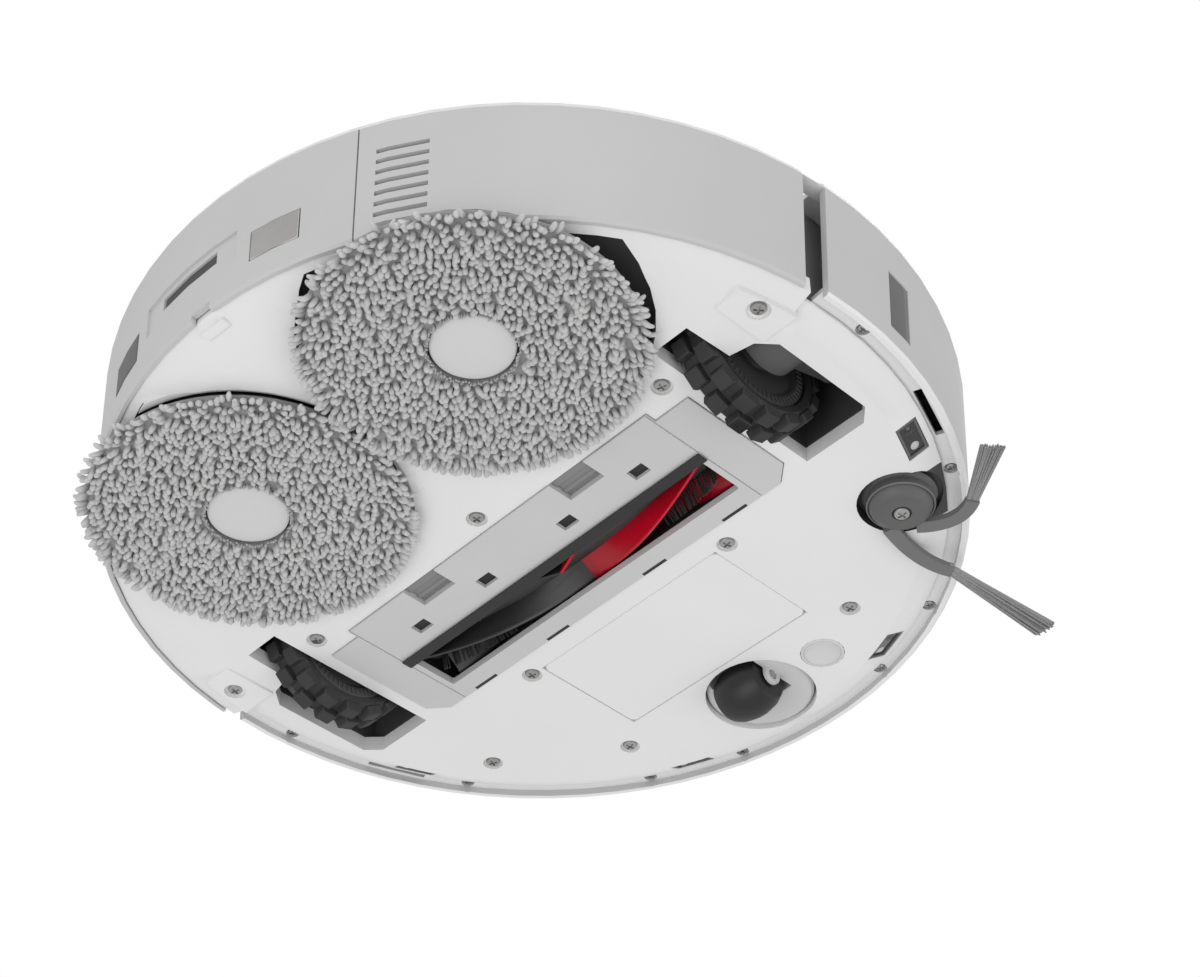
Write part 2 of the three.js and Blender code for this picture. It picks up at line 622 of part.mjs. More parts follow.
function deck() {
  const edge = turned([
    [0, DECK_BOTTOM], [BODY_RADIUS - 7, DECK_BOTTOM], [BODY_RADIUS - 7, WALL_TOP + GAP],
    [BODY_RADIUS - 0.2, WALL_TOP + GAP], [BODY_RADIUS - 0.8, WALL_TOP + 2.6],
    [BODY_RADIUS - 2.4, WALL_TOP + 4.8], [BODY_RADIUS - 5.5, BODY_HEIGHT], [0, BODY_HEIGHT],
  ]);
  const ledge = block(
    -LID_HALF_WIDTH - 3, LID_HALF_WIDTH + 3, LID_FRONT - 3, LID_REAR + 3,
    BODY_HEIGHT - LID_THICKNESS - 3, DECK_BOTTOM + 0.5,
  );
  const lidRoom = roundedRect(
    -LID_HALF_WIDTH - GAP, LID_HALF_WIDTH + GAP, LID_FRONT - GAP, LID_REAR + GAP, 8,
  );
  const lidBottom = BODY_HEIGHT - LID_THICKNESS - GAP;
  const binRoom = block(
    -BIN.half - 1, BIN.half + 1, BIN.front - 1, BIN.rear + 1, DECK_BOTTOM - 10, BODY_HEIGHT + 1,
  );
  // The gap between the wall and the bumper runs up through the deck's edge.
  const rim = ring(BODY_RADIUS + 1, BACKING_RADIUS, DECK_BOTTOM - PLATE, BODY_HEIGHT + 1);
  const notchEnd = 180 - BUMPER_END;
  const sideNotches = [[WALL_END, notchEnd], [360 - notchEnd, 360 - WALL_END]].map(
    ([from, to]) => common(rim, slice(from, to, 0, BODY_HEIGHT + 2)),
  );
  return cut(
    fuse(edge, ledge),
    prism(lidRoom, lidBottom, BODY_HEIGHT + 1, 4),
    binRoom,
    ...sideNotches,
    post(TURRET_RADIUS - 7 + GAP, 0, BODY_HEIGHT + 1, 0, TURRET_Y, FINE),
    ...[-1, 1].map((s) => post(BUTTON_RADIUS + GAP, 0, 99, s * BUTTON_X, BUTTON_Y)),
  );
}
piece("deck", deck(), WHITE);

const lidShape = roundedRect(-LID_HALF_WIDTH, LID_HALF_WIDTH, LID_FRONT, LID_REAR, 8);
piece("dust_lid", prism(lidShape, BODY_HEIGHT - LID_THICKNESS, BODY_HEIGHT), WHITE);

function dustBin() {
  const outer = block(-BIN.half, BIN.half, BIN.front, BIN.rear, BIN.bottom, BIN.top);
  const inner = block(
    SHELL - BIN.half, BIN.half - SHELL, BIN.front + SHELL, BIN.rear - SHELL - 13,
    BIN.bottom + SHELL, BIN.top + 1,
  );
  const filterRoom = block(
    14 - BIN.half, BIN.half - 14, BIN.rear - 13, BIN.rear - SHELL,
    BIN.bottom + 4, BIN.top + 1,
  );
  return cut(outer, inner, filterRoom);
}
piece("dust_bin", dustBin(), CHARCOAL);

const dustFilter = block(
  15 - BIN.half, BIN.half - 15, BIN.rear - 12.5, BIN.rear - SHELL - 0.5,
  BIN.bottom + 4.5, BIN.top - 1,
);
piece("dust_filter", dustFilter, PILE);

for (const [name, side] of [["power_button", -1], ["home_button", 1]]) {
  const holder = group(side * BUTTON_X, BUTTON_Y, BODY_HEIGHT);
  const height = PLATE + 3;
  piece(name, post(BUTTON_RADIUS, -height, 0), GREY, holder);
}

// ---------------------------------------------------------------- laser turret
const TURRET_BASE = 3;
const TURRET_CAP = 4.5;

function turretTower() {
  const top = TURRET_HEIGHT;
  const base = turned([
    [ROTOR_RADIUS + RUNNING, -8], [TURRET_RADIUS - 7, -8], [TURRET_RADIUS - 7, GAP],
    [TURRET_RADIUS, GAP], [TURRET_RADIUS, TURRET_BASE], [ROTOR_RADIUS + RUNNING, TURRET_BASE],
  ], FINE);
  const cap = turned([
    [0, top - TURRET_CAP], [TURRET_RADIUS, top - TURRET_CAP], [TURRET_RADIUS, top - 2],
    [TURRET_RADIUS - 2, top], [0, top],
  ], FINE);
  const wall = ring(TURRET_RADIUS - 0.5, TURRET_RADIUS - 4, TURRET_BASE - 1, top - 2, FINE);
  const posts = [60, 180, 300].map((a) => common(wall, slice(a - 12, a + 12, -1, top)));
  return fuse(base, cap, ...posts);
}

function rotor() {
  const top = TURRET_HEIGHT - TURRET_CAP - RUNNING;
  const drum = turned([
    [0, -7], [ROTOR_RADIUS - 1, -7], [ROTOR_RADIUS, -6], [ROTOR_RADIUS, top], [0, top],
  ], FINE);
  const face = block(-14, 14, 19, 40, 1, top + 1);
  return cut(drum, face);
}
const turret = group(0, TURRET_Y, BODY_HEIGHT);
piece("turret_tower", turretTower(), WHITE, turret);
piece("turret_rotor", rotor(), DARK, turret);

// ---------------------------------------------------------------- drive wheels
function wheelArm(side) {
  const [x0, x1] = mirrored(ARM_INNER_X, ARM_OUTER_X, side);
  const wheelEnd = barrel(GEARBOX_RADIUS, x0, x1, WHEEL_Y, WHEEL_RADIUS, FINE);
  const pivotEnd = barrel(PIVOT_RADIUS, x0, x1, ARM_PIVOT_Y, ARM_PIVOT_Z);
  const [dy, dz] = [WHEEL_Y - ARM_PIVOT_Y, WHEEL_RADIUS - ARM_PIVOT_Z];
  const length = Math.hypot(dy, dz);
  const link = block(x0, x1, 0, length, 0.5 - PIVOT_RADIUS, PIVOT_RADIUS - 0.5);
  link.rotateX(Math.atan2(dz, dy));
  link.translate(0, ARM_PIVOT_Y, ARM_PIVOT_Z);
  const [m0, m1] = mirrored(WHEEL_OUTER_X - 0.6, ARM_INNER_X + 1, side);
  const axle = barrel(AXLE_RADIUS, m0, m1, WHEEL_Y, WHEEL_RADIUS);
  return fuse(wheelEnd, pivotEnd, link, axle);
}

for (const side of [-1, 1]) {
  const name = sideName(side);
  piece("wheel_arm_" + name, wheelArm(side), CHARCOAL);
  const wheel = group(side * WHEEL_INNER_X, WHEEL_Y, WHEEL_RADIUS);
  const [h0, h1] = mirrored(0.8, WHEEL_WIDTH - 1, side);
  const [t0, t1] = mirrored(0, WHEEL_WIDTH, side);
  const [b0, b1] = mirrored(WHEEL_WIDTH - 3, WHEEL_WIDTH, side);
  const hub = cut(barrel(HUB_RADIUS, h0, h1, 0, 0, FINE), barrel(AXLE_RADIUS + 0.4, b0, b1));
  piece("wheel_hub_" + name, hub, CHARCOAL, wheel);
  const tread = barrel(WHEEL_RADIUS, t0, t1, 0, 0, FINE);
  const bore = barrel(HUB_RADIUS + GAP, t0 - 1, t1 + 1, 0, 0, FINE);
  piece("wheel_tyre_" + name, cut(tread, bore), RUBBER, wheel);
}

// ---------------------------------------------------------------- swivel caster
const caster = group(0, CASTER_Y, 0);
const CASTER_TOP = CASTER_CUP_TOP - RUNNING;

function casterFork() {
  const radius = CASTER_CUP_RADIUS - RUNNING;
  const low = PLATE_BOTTOM + 1;
  const body = turned([
    [0, low], [radius - 1.5, low], [radius, low + 1.5], [radius, CASTER_TOP], [0, CASTER_TOP],
  ], FINE);
  const half = CASTER_WIDTH / 2 + RUNNING;
  const room = CASTER_RADIUS + 1;
  const mouth = block(-half, half, CASTER_TRAIL - room, BODY_RADIUS, 0, 2 * CASTER_RADIUS + 1.2);
  const ears = [-1, 1].map((s) => {
    const [e0, e1] = mirrored(half, half + 2.2, s);
    return fuse(
      barrel(4.2, e0, e1, CASTER_TRAIL, CASTER_RADIUS),
      block(e0, e1, CASTER_TRAIL - 4.2, CASTER_TRAIL + 4.2, CASTER_RADIUS, low + 2),
    );
  });
  const bore = barrel(CASTER_AXLE_RADIUS + GAP, -radius, radius, CASTER_TRAIL, CASTER_RADIUS);
  const stem = post(3, CASTER_TOP - 1, CASTER_CUP_TOP + SHELL + 1.5);
  return fuse(cut(fuse(cut(body, mouth), ...ears), bore), stem);
}

piece("caster_fork", casterFork(), GREY, caster);
const axleReach = CASTER_WIDTH / 2 + RUNNING + 2;
const casterAxle = barrel(
  CASTER_AXLE_RADIUS, -axleReach, axleReach, CASTER_TRAIL, CASTER_RADIUS,
);
piece("caster_axle", casterAxle, METAL, caster);

function casterWheel() {
  const half = CASTER_WIDTH / 2;
  const bore = CASTER_AXLE_RADIUS + GAP;
  const round = [[CASTER_RADIUS - 3.2, half], [CASTER_RADIUS - 0.9, half * 0.6]];
  const outer = [...round.map(([r, z]) => [r, -z]), [CASTER_RADIUS, -2], [CASTER_RADIUS, 2]];
  const outlineOf = [[bore, -half], ...outer, ...round.reverse(), [bore, half]];
  return turned(outlineOf, 24).rotateY(Math.PI / 2).translate(0, CASTER_TRAIL, CASTER_RADIUS);
}
piece("caster_wheel", casterWheel(), DARK, caster);

// ---------------------------------------------------------------- roller brush and chamber
function brushChamber() {
  const end = CORE_HALF_LENGTH + 4.5;
  const outer = block(
    -end - SHELL, end + SHELL, ROLLER_Y - CHAMBER_RADIUS - SHELL,
    ROLLER_Y + CHAMBER_RADIUS + SHELL, PLATE_TOP + GAP, ROLLER_Z + CHAMBER_RADIUS + SHELL,
  );
  const bore = barrel(CHAMBER_RADIUS, -end, end, ROLLER_Y, ROLLER_Z, FINE);
  const mouth = block(
    -end, end, ROLLER_Y - CHAMBER_RADIUS, ROLLER_Y + CHAMBER_RADIUS, 0, ROLLER_Z,
  );
  const duct = block(-28, 28, ROLLER_Y - 60, ROLLER_Y, ROLLER_Z + 4, ROLLER_Z + 16);
  return cut(outer, bore, mouth, duct);
}
piece("brush_chamber", brushChamber(), CHARCOAL);

// Outline of a set of rubber fins round the core.
function finSection(phase) {
  const points = [];
  const root = ROLLER_CORE_RADIUS + 2;
  const half = 5; // half a fin's tip, degrees
  const spot = (r, degrees) => {
    const a = THREE.MathUtils.degToRad(degrees);
    return [r * Math.cos(a), r * Math.sin(a)];
  };
  for (let i = 0; i < ROLLER_FINS; i++) {
    const middle = phase + (360 * i) / ROLLER_FINS;
    points.push(spot(root, middle - 14));
    points.push(spot(ROLLER_RADIUS, middle - half), spot(ROLLER_RADIUS, middle + half));
    points.push(spot(root, middle + 14), spot(root, middle + 180 / ROLLER_FINS));
  }
  return points;
}

const roller = group(0, ROLLER_Y, ROLLER_Z);
for (const [name, side, material] of [
  ["roller_fins_red", -1, RED_RUBBER],
  ["roller_fins_black", 1, RUBBER],
]) {
  const length = FIN_HALF_LENGTH - 0.5;
  const phase = side > 0 ? FIN_PHASE : 180 - FIN_PHASE;
  const fins = twisted(finSection(phase), length, 10, side * ROLLER_TURN);
  const bore = post(ROLLER_CORE_RADIUS + GAP, -1, length + 1);
  const sleeve = cut(fins, bore).rotateY((side * Math.PI) / 2).translate(side * 0.5, 0, 0);
  piece(name, sleeve, material, roller);
}
const core = fuse(
  barrel(ROLLER_CORE_RADIUS, -CORE_HALF_LENGTH, CORE_HALF_LENGTH),
  barrel(3, -CORE_HALF_LENGTH - 3.5, CORE_HALF_LENGTH + 3.5),
);
piece("roller_core", core, DARK, roller);

// ---------------------------------------------------------------- brush cover
const COVER_BOTTOM = PLATE_BOTTOM - COVER_PROUD;
const OPENING_FRONT = ROLLER_Y - OPENING_HALF_WIDTH;
const OPENING_REAR = ROLLER_Y + OPENING_HALF_WIDTH;
const LATCH_FRONT = COVER_REAR - 9;

function brushCover() {
  const opening = roundedRect(
    -OPENING_HALF_LENGTH, OPENING_HALF_LENGTH, OPENING_FRONT, OPENING_REAR, 1,
  );
  const cuts = [prism(opening, 0, BODY_HEIGHT)];
  for (const side of [-1, 1]) {
    for (const x of COVER_WINDOWS) {
      const [x0, x1] = mirrored(x - 4, x + 4, side);
      cuts.push(block(x0, x1, 1, 6.5, 0, BODY_HEIGHT));
    }
    const [l0, l1] = mirrored(LATCH_X - LATCH_WIDTH / 2, LATCH_X + LATCH_WIDTH / 2, side);
    cuts.push(block(l0 - GAP, l1 + GAP, LATCH_FRONT - 2.5, COVER_REAR + 1, 0, BODY_HEIGHT));
  }
  return cut(prism(coverOutline(0), COVER_BOTTOM, COVER_TOP), ...cuts);
}
piece("brush_cover", brushCover(), GREY);

// The scraper lies on the cover's outer face, along the opening's rear edge.
const scraperEdge = OPENING_REAR + 0.6;
const scraper = block(
  -OPENING_HALF_LENGTH - 3, OPENING_HALF_LENGTH + 3, scraperEdge - SCRAPER_WIDTH, scraperEdge,
  COVER_BOTTOM - GAP - 0.9, COVER_BOTTOM - GAP,
);
piece("scraper_strip", scraper, RUBBER);

for (const side of [-1, 1]) {
  const [l0, l1] = mirrored(LATCH_X - LATCH_WIDTH / 2, LATCH_X + LATCH_WIDTH / 2, side);
  const tab = block(l0, l1, LATCH_FRONT, COVER_REAR - 0.2, PLATE_BOTTOM + 1, COVER_TOP);
  const grip = block(l0 - 1, l1 + 1, LATCH_FRONT + 2, COVER_REAR - 4, 0, PLATE_BOTTOM + 1.8);
  piece("cover_latch_" + sideName(side), cut(tab, grip), GREY);
}

// ---------------------------------------------------------------- side brush
const sideBrush = group(SIDE_BRUSH[0], SIDE_BRUSH[1], PLATE_BOTTOM);

function sideBrushHub() {
  const dome = turned([
    [0, -6], [SIDE_BRUSH_HUB - 5, -6], [SIDE_BRUSH_HUB - 1.5, -4], [SIDE_BRUSH_HUB, -1],
    [SIDE_BRUSH_HUB, 2], [SIDE_BRUSH_HUB + 2, 4], [0, 4],
  ], 24);
  const screwRoom = post(3.8, -7, -4.5);
  return cut(fuse(dome, post(4, 3, 12)), screwRoom);
}
piece("side_brush_hub", sideBrushHub(), CHARCOAL, sideBrush);
piece("side_brush_screw", post(3.4, -6, -4.5 - GAP), METAL, sideBrush);

// Each arm is a rubber strap that leaves the hub's skirt and slopes down to the floor.
function sideBrushArm(side) {
  const { reach, heading } = side;
  const start = SIDE_BRUSH_HUB + GAP;
  const shape = flatShape([[start - 1, -4], [reach * 0.45, -3], [reach, -4], [reach, 4], [start - 1, 4]]);
  const strap = prism(shape, -1.2, 1.2).rotateY(THREE.MathUtils.degToRad(6));
  return strap.rotateZ(THREE.MathUtils.degToRad(heading));
}
const collar = ring(SIDE_BRUSH_HUB + 2.5, SIDE_BRUSH_HUB + GAP, -3.5, -0.6, 24);
const straps = fuse(...SIDE_BRUSH_ARMS.map(sideBrushArm), collar);
const hubRoom = post(SIDE_BRUSH_HUB + GAP, -20, 20, 0, 0, 24);
piece("side_brush_arms", cut(straps, hubRoom), BRISTLE, sideBrush);

// ---------------------------------------------------------------- mops
function mopPad() {
  const bottom = MOP_BOTTOM;
  const top = MOP_BOTTOM + MOP_PILE;
  return turned([
    [MOP_HOLE_RADIUS, bottom], [MOP_RADIUS - 3, bottom], [MOP_RADIUS, bottom + 3],
    [MOP_RADIUS, top], [MOP_HOLE_RADIUS, top],
  ], FINE);
}

function mopCap() {
  const bottom = MOP_BOTTOM + 2;
  const top = MOP_BOTTOM + MOP_PILE;
  return turned([
    [0, bottom], [MOP_CAP_RADIUS - 1.5, bottom], [MOP_CAP_RADIUS, bottom + 1],
    [MOP_CAP_RADIUS, top], [0, top],
  ], FINE);
}

for (const side of [-1, 1]) {
  const name = sideName(side);
  const mop = group(...(side < 0 ? RIGHT_MOP : LEFT_MOP), 0);
  const carrier = post(MOP_RADIUS - 2.5, MOP_PLATE_BOTTOM, MOP_PLATE_TOP, 0, 0, FINE);
  piece("mop_plate_" + name, carrier, CHARCOAL, mop);
  piece("mop_pad_" + name, mopPad(), PILE, mop);
  piece("mop_cap_" + name, mopCap(), GREY, mop);
}

// The carriage rides above the tray; its posts reach down through the tray's floor.
const ARM_LEVEL = MOP_PLATE_TOP + 0.6;
const ARM_HEIGHT = 3;
const CARRIAGE_HALF_WIDTH = 9;
const BRANCH_HALF_WIDTH = 12;
const PIVOT_END_RADIUS = 8;

function mopCarriage() {
  const bar = block(
    MOP_PIVOT_X - BRANCH_HALF_WIDTH, LEFT_MOP[0] + BRANCH_HALF_WIDTH,
    MOP_Y - CARRIAGE_HALF_WIDTH, MOP_Y + CARRIAGE_HALF_WIDTH, CARRIAGE_BOTTOM, CARRIAGE_TOP,
  );
  const branch = block(
    MOP_PIVOT_X - BRANCH_HALF_WIDTH, MOP_PIVOT_X + BRANCH_HALF_WIDTH,
    MOP_Y, MOP_PIVOT_Y + PIVOT_END_RADIUS, CARRIAGE_BOTTOM, CARRIAGE_TOP,
  );
  const left = post(MOP_POST_RADIUS, MOP_PLATE_TOP + GAP, CARRIAGE_TOP, ...LEFT_MOP);
  const armTop = ARM_LEVEL + ARM_HEIGHT + GAP;
  const right = post(MOP_POST_RADIUS, armTop, CARRIAGE_TOP, MOP_PIVOT_X, MOP_PIVOT_Y);
  return fuse(bar, branch, left, right);
}
piece("mop_carriage", mopCarriage(), DARK);

function mopSwingArm() {
  const [z0, z1] = [ARM_LEVEL, ARM_LEVEL + ARM_HEIGHT];
  const length = Math.hypot(...MOP_PIVOT);
  const link = block(0, length, -PIVOT_END_RADIUS, PIVOT_END_RADIUS, z0, z1);
  link.rotateZ(Math.atan2(-MOP_PIVOT[1], -MOP_PIVOT[0]));
  link.translate(MOP_PIVOT_X, MOP_PIVOT_Y, 0);
  const pivotEnd = post(PIVOT_END_RADIUS, z0, z1, MOP_PIVOT_X, MOP_PIVOT_Y);
  const padEnd = post(14, z0, z1, ...RIGHT_MOP);
  return fuse(link, pivotEnd, padEnd);
}
piece("mop_swing_arm", mopSwingArm(), DARK);

// ---------------------------------------------------------------- inside the body
const batteryFront = DOOR_FRONT + 2;
const batteryRear = DOOR_REAR - 5;
const battery = block(
  -BATTERY_HALF_WIDTH, BATTERY_HALF_WIDTH, batteryFront, batteryRear,
  PLATE_TOP + GAP, PLATE_TOP + GAP + BATTERY_HEIGHT,
);
piece("battery_pack", battery, CELLS);

const board = block(-58, 58, MOP_Y - 60, MOP_Y + 10, CARRIAGE_TOP + 4, CARRIAGE_TOP + 5.6);
piece("main_board", board, BOARD);

const FAN_RADIUS = 24;
const fanY = MOP_Y - CARRIAGE_HALF_WIDTH - FAN_RADIUS - 8.7;
const fan = turned([
  [0, TRAY_TOP + GAP], [FAN_RADIUS - 2, TRAY_TOP + GAP], [FAN_RADIUS, TRAY_TOP + 3],
  [FAN_RADIUS, CARRIAGE_TOP - 2], [FAN_RADIUS - 10, CARRIAGE_TOP + 1], [0, CARRIAGE_TOP + 1],
], 24).translate(0, fanY, 0);
piece("suction_fan", fan, DARK);

const rollerMotor = barrel(9, 64, 100, COVER_REAR + 14, TRAY_TOP + 11);
piece("roller_motor", rollerMotor, METAL);

const [motorX, motorY] = SIDE_BRUSH;
const sideMotor = post(10, TRAY_TOP + 4, TRAY_TOP + 30, motorX, motorY);
piece("side_brush_motor", sideMotor, METAL);

export default robot;
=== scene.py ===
"""A robot vacuum with two round mops, drawn round its CAD frame."""

import json
import math
import random

import bpy
import numpy as np
from mathutils import Matrix, Vector


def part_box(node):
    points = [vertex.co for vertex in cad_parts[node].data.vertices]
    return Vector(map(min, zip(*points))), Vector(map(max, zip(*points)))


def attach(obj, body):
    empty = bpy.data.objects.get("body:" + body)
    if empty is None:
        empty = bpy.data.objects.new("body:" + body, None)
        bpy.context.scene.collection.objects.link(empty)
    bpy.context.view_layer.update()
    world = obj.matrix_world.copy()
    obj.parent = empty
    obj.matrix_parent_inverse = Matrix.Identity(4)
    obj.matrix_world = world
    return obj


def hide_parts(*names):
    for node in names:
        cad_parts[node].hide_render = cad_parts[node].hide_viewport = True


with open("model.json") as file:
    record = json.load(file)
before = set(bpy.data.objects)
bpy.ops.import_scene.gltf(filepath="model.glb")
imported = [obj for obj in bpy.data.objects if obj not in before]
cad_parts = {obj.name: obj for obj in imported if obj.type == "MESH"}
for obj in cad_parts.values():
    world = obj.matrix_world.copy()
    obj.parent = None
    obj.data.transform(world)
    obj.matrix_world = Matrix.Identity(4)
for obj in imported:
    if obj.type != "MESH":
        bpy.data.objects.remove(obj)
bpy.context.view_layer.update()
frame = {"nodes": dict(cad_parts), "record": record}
NODES = frame["nodes"]
BODY_OF = {n: b for b, ns in frame["record"]["behaviour"]["bodies"].items() for n in ns}
MM = 0.001
FULL_TURN = 2 * math.pi


def centre_of(node):
    """The middle of a CAD node's box, in metres."""
    low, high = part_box(node)
    return (low + high) / 2


def spot(radius, degrees, z=0.0):
    """A point on the round body, in mm: degrees from the rear, growing to its right."""
    a = math.radians(degrees)
    return Vector((-radius * math.sin(a), radius * math.cos(a), z))


# ------------------------------------------------------------------ modelling helpers
def clear():
    active = bpy.context.view_layer.objects.active
    if active and active.mode != "OBJECT":
        bpy.ops.object.mode_set(mode="OBJECT")
    bpy.ops.object.select_all(action="DESELECT")


def pick(*pieces):
    clear()
    for piece in pieces:
        piece.select_set(True)
    bpy.context.view_layer.objects.active = pieces[0]


def edit(piece, action="SELECT"):
    pick(piece)
    bpy.ops.object.mode_set(mode="EDIT")
    bpy.ops.mesh.select_all(action=action)


def leave():
    bpy.ops.object.mode_set(mode="OBJECT")


def settle(piece):
    """Puts the piece's place into its mesh."""
    pick(piece)
    bpy.ops.object.transform_apply(location=True, rotation=True, scale=True)
    return piece


def block(x0, x1, y0, y1, z0, z1):
    """A box between limits given in mm."""
    clear()
    middle = Vector((x0 + x1, y0 + y1, z0 + z1)) * MM / 2
    bpy.ops.mesh.primitive_cube_add(size=1, location=middle)
    piece = bpy.context.object
    piece.scale = Vector((x1 - x0, y1 - y0, z1 - z0)) * MM
    return settle(piece)


def rod(radius, start, end, sides=32):
    """A cylinder between two points given in mm."""
    clear()
    a, b = Vector(start) * MM, Vector(end) * MM
    bpy.ops.mesh.primitive_cylinder_add(
        vertices=sides, radius=radius * MM, depth=(b - a).length, location=(a + b) / 2
    )
    piece = bpy.context.object
    piece.rotation_mode = "QUATERNION"
    piece.rotation_quaternion = (b - a).to_track_quat("Z", "Y")
    return settle(piece)


def turned(profile, centre, sides=48, axis="Z"):
    """Spins a profile of (radius, height) pairs, in mm, round an axis through centre."""
    clear()
    bpy.ops.mesh.primitive_plane_add(size=MM)
    piece = bpy.context.object
    edit(piece)
    bpy.ops.mesh.merge(type="CENTER")
    first = Vector((profile[0][0], 0, profile[0][1])) * MM
    bpy.ops.transform.translate(value=first)
    for (r0, z0), (r1, z1) in zip(profile, profile[1:]):
        step = Vector((r1 - r0, 0, z1 - z0)) * MM
        bpy.ops.mesh.extrude_region_move(TRANSFORM_OT_translate={"value": step})
    bpy.ops.mesh.select_all(action="SELECT")
    bpy.ops.mesh.spin(steps=sides, angle=FULL_TURN, center=(0, 0, 0), axis=(0, 0, 1))
    bpy.ops.mesh.select_all(action="SELECT")
    bpy.ops.mesh.remove_doubles(threshold=MM * 0.01)
    bpy.ops.mesh.normals_make_consistent(inside=False)
    leave()
    if axis == "X":
        piece.rotation_euler = (0, math.radians(90), 0)
    piece.location = Vector(centre) * MM
    return settle(piece)


def moved(piece, matrix):
    """A copy of a piece with its own mesh, placed by a matrix."""
    twin = piece.copy()
    twin.data = piece.data.copy()
    twin.data.transform(matrix)
    bpy.context.scene.collection.objects.link(twin)
    return twin


def joined(*pieces):
    pick(*pieces)
    if len(pieces) > 1:
        bpy.ops.object.join()
    return bpy.context.view_layer.objects.active


def removed(*pieces):
    for piece in pieces:
        bpy.data.objects.remove(piece)


def carve(piece, *cutters, keep="DIFFERENCE"):
    """Cuts the cutters out of a piece and throws them away."""
    tool = joined(*cutters)
    change = piece.modifiers.new("carve", "BOOLEAN")
    change.operation = keep
    change.object = tool
    change.solver = "EXACT"
    change.use_self = True
    pick(piece)
    bpy.ops.object.modifier_apply(modifier=change.name)
    removed(tool)
    return piece


def soften(piece, width, segments=2, angle=35):
    """Rounds the edges sharper than an angle; width in mm."""
    change = piece.modifiers.new("rounded edges", "BEVEL")
    change.width = width * MM
    change.segments = segments
    change.limit_method = "ANGLE"
    change.angle_limit = math.radians(angle)
    change.miter_outer = "MITER_ARC"
    change.use_clamp_overlap = True
    change.loop_slide = True
    pick(piece)
    bpy.ops.object.modifier_apply(modifier=change.name)
    return piece


def finish(piece, name, body, material, slot, *nodes, angle=32, weighted=True):
    """Names a piece, smooths and paints it, and hangs it on its body."""
    piece.name = name
    piece.data.name = name
    piece.data.materials.clear()
    piece.data.materials.append(material)
    pick(piece)
    bpy.ops.object.shade_smooth_by_angle(angle=math.radians(angle))
    if weighted:
        change = piece.modifiers.new("flat faces stay flat", "WEIGHTED_NORMAL")
        change.keep_sharp = True
        bpy.ops.object.modifier_apply(modifier=change.name)
    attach(piece, body)
    if nodes:
        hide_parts(*nodes)
    return piece


def cad_copy(node):
    """A merged, tidied copy of a CAD node, free to be reshaped."""
    source = NODES[node]
    piece = source.copy()
    piece.data = source.data.copy()
    for key in list(piece.keys()):
        del piece[key]
    piece.parent = None
    piece.matrix_world = Matrix.Identity(4)
    bpy.context.scene.collection.objects.link(piece)
    piece.hide_render = False
    piece.hide_viewport = False
    edit(piece)
    bpy.ops.mesh.remove_doubles(threshold=MM * 0.01)
    bpy.ops.mesh.dissolve_limited(angle_limit=math.radians(1))
    leave()
    return piece


def swept(points, width, height, shrink=1.0):
    """A flat strap drawn along a level route of points in mm, getting narrower on the way."""
    start, ahead = Vector(points[0]), Vector(points[1]) - Vector(points[0])
    half = width / 2
    piece = block(-0.05, 0.05, -half, half, -height / 2, height / 2)
    heading = math.atan2(ahead.y, ahead.x)
    turn = Matrix.Rotation(heading, 4, "Z")
    piece.data.transform(Matrix.Translation(start * MM) @ turn)
    edit(piece, "DESELECT")
    leave()
    for face in piece.data.polygons:
        face.select = face.normal.dot(ahead.normalized()) > 0.9
    bpy.ops.object.mode_set(mode="EDIT")
    for before, after in zip(points, points[1:]):
        step = Vector(after) - Vector(before)
        bpy.ops.mesh.extrude_region_move(TRANSFORM_OT_translate={"value": step * MM})
        bend = math.atan2(step.y, step.x) - heading
        heading += bend
        middle = Vector(after) * MM
        bpy.ops.transform.rotate(value=-bend, orient_axis="Z", center_override=middle)
        bpy.ops.transform.resize(value=(shrink, shrink, 1), center_override=middle)
    bpy.ops.mesh.select_all(action="SELECT")
    bpy.ops.mesh.normals_make_consistent(inside=False)
    leave()
    return piece


# ------------------------------------------------------------------ shader node groups
def node_group(name, inputs, outputs):
    tree = bpy.data.node_groups.new(name, "ShaderNodeTree")
    for label, kind, value in inputs:
        socket = tree.interface.new_socket(name=label, in_out="INPUT", socket_type=kind)
        if value is not None:
            socket.default_value = value
    for label, kind in outputs:
        tree.interface.new_socket(name=label, in_out="OUTPUT", socket_type=kind)
    return tree, tree.nodes.new("NodeGroupInput"), tree.nodes.new("NodeGroupOutput")


def add(tree, kind, settings=(), **values):
    """A node with its settings and unlinked inputs; a linked input is given as a socket."""
    node = tree.nodes.new(kind)
    for key, value in dict(settings).items():
        setattr(node, key, value)
    for label, value in values.items():
        socket = node.inputs[label.replace("_", " ")]
        if isinstance(value, bpy.types.NodeSocket):
            tree.links.new(value, socket)
        else:
            socket.default_value = value
    return node


def math_node(tree, operation, a, b=None, clamp=False):
    node = tree.nodes.new("ShaderNodeMath")
    node.operation = operation
    node.use_clamp = clamp
    for socket, value in zip(node.inputs, (a, b)):
        if isinstance(value, bpy.types.NodeSocket):
            tree.links.new(value, socket)
        elif value is not None:
            socket.default_value = value
    return node.outputs[0]


def spread(tree, value, low, high, to_low=0.0, to_high=1.0):
    """A value's range stretched to another range, and held inside it."""
    node = add(tree, "ShaderNodeMapRange", Value=value)
    node.inputs["From Min"].default_value = low
    node.inputs["From Max"].default_value = high
    node.inputs["To Min"].default_value = to_low
    node.inputs["To Max"].default_value = to_high
    return node.outputs["Result"]


def noise(tree, vector, scale, detail=2.0, roughness=0.5):
    return add(
        tree, "ShaderNodeTexNoise", Vector=vector, Scale=scale, Detail=detail, Roughness=roughness
    ).outputs["Fac"]


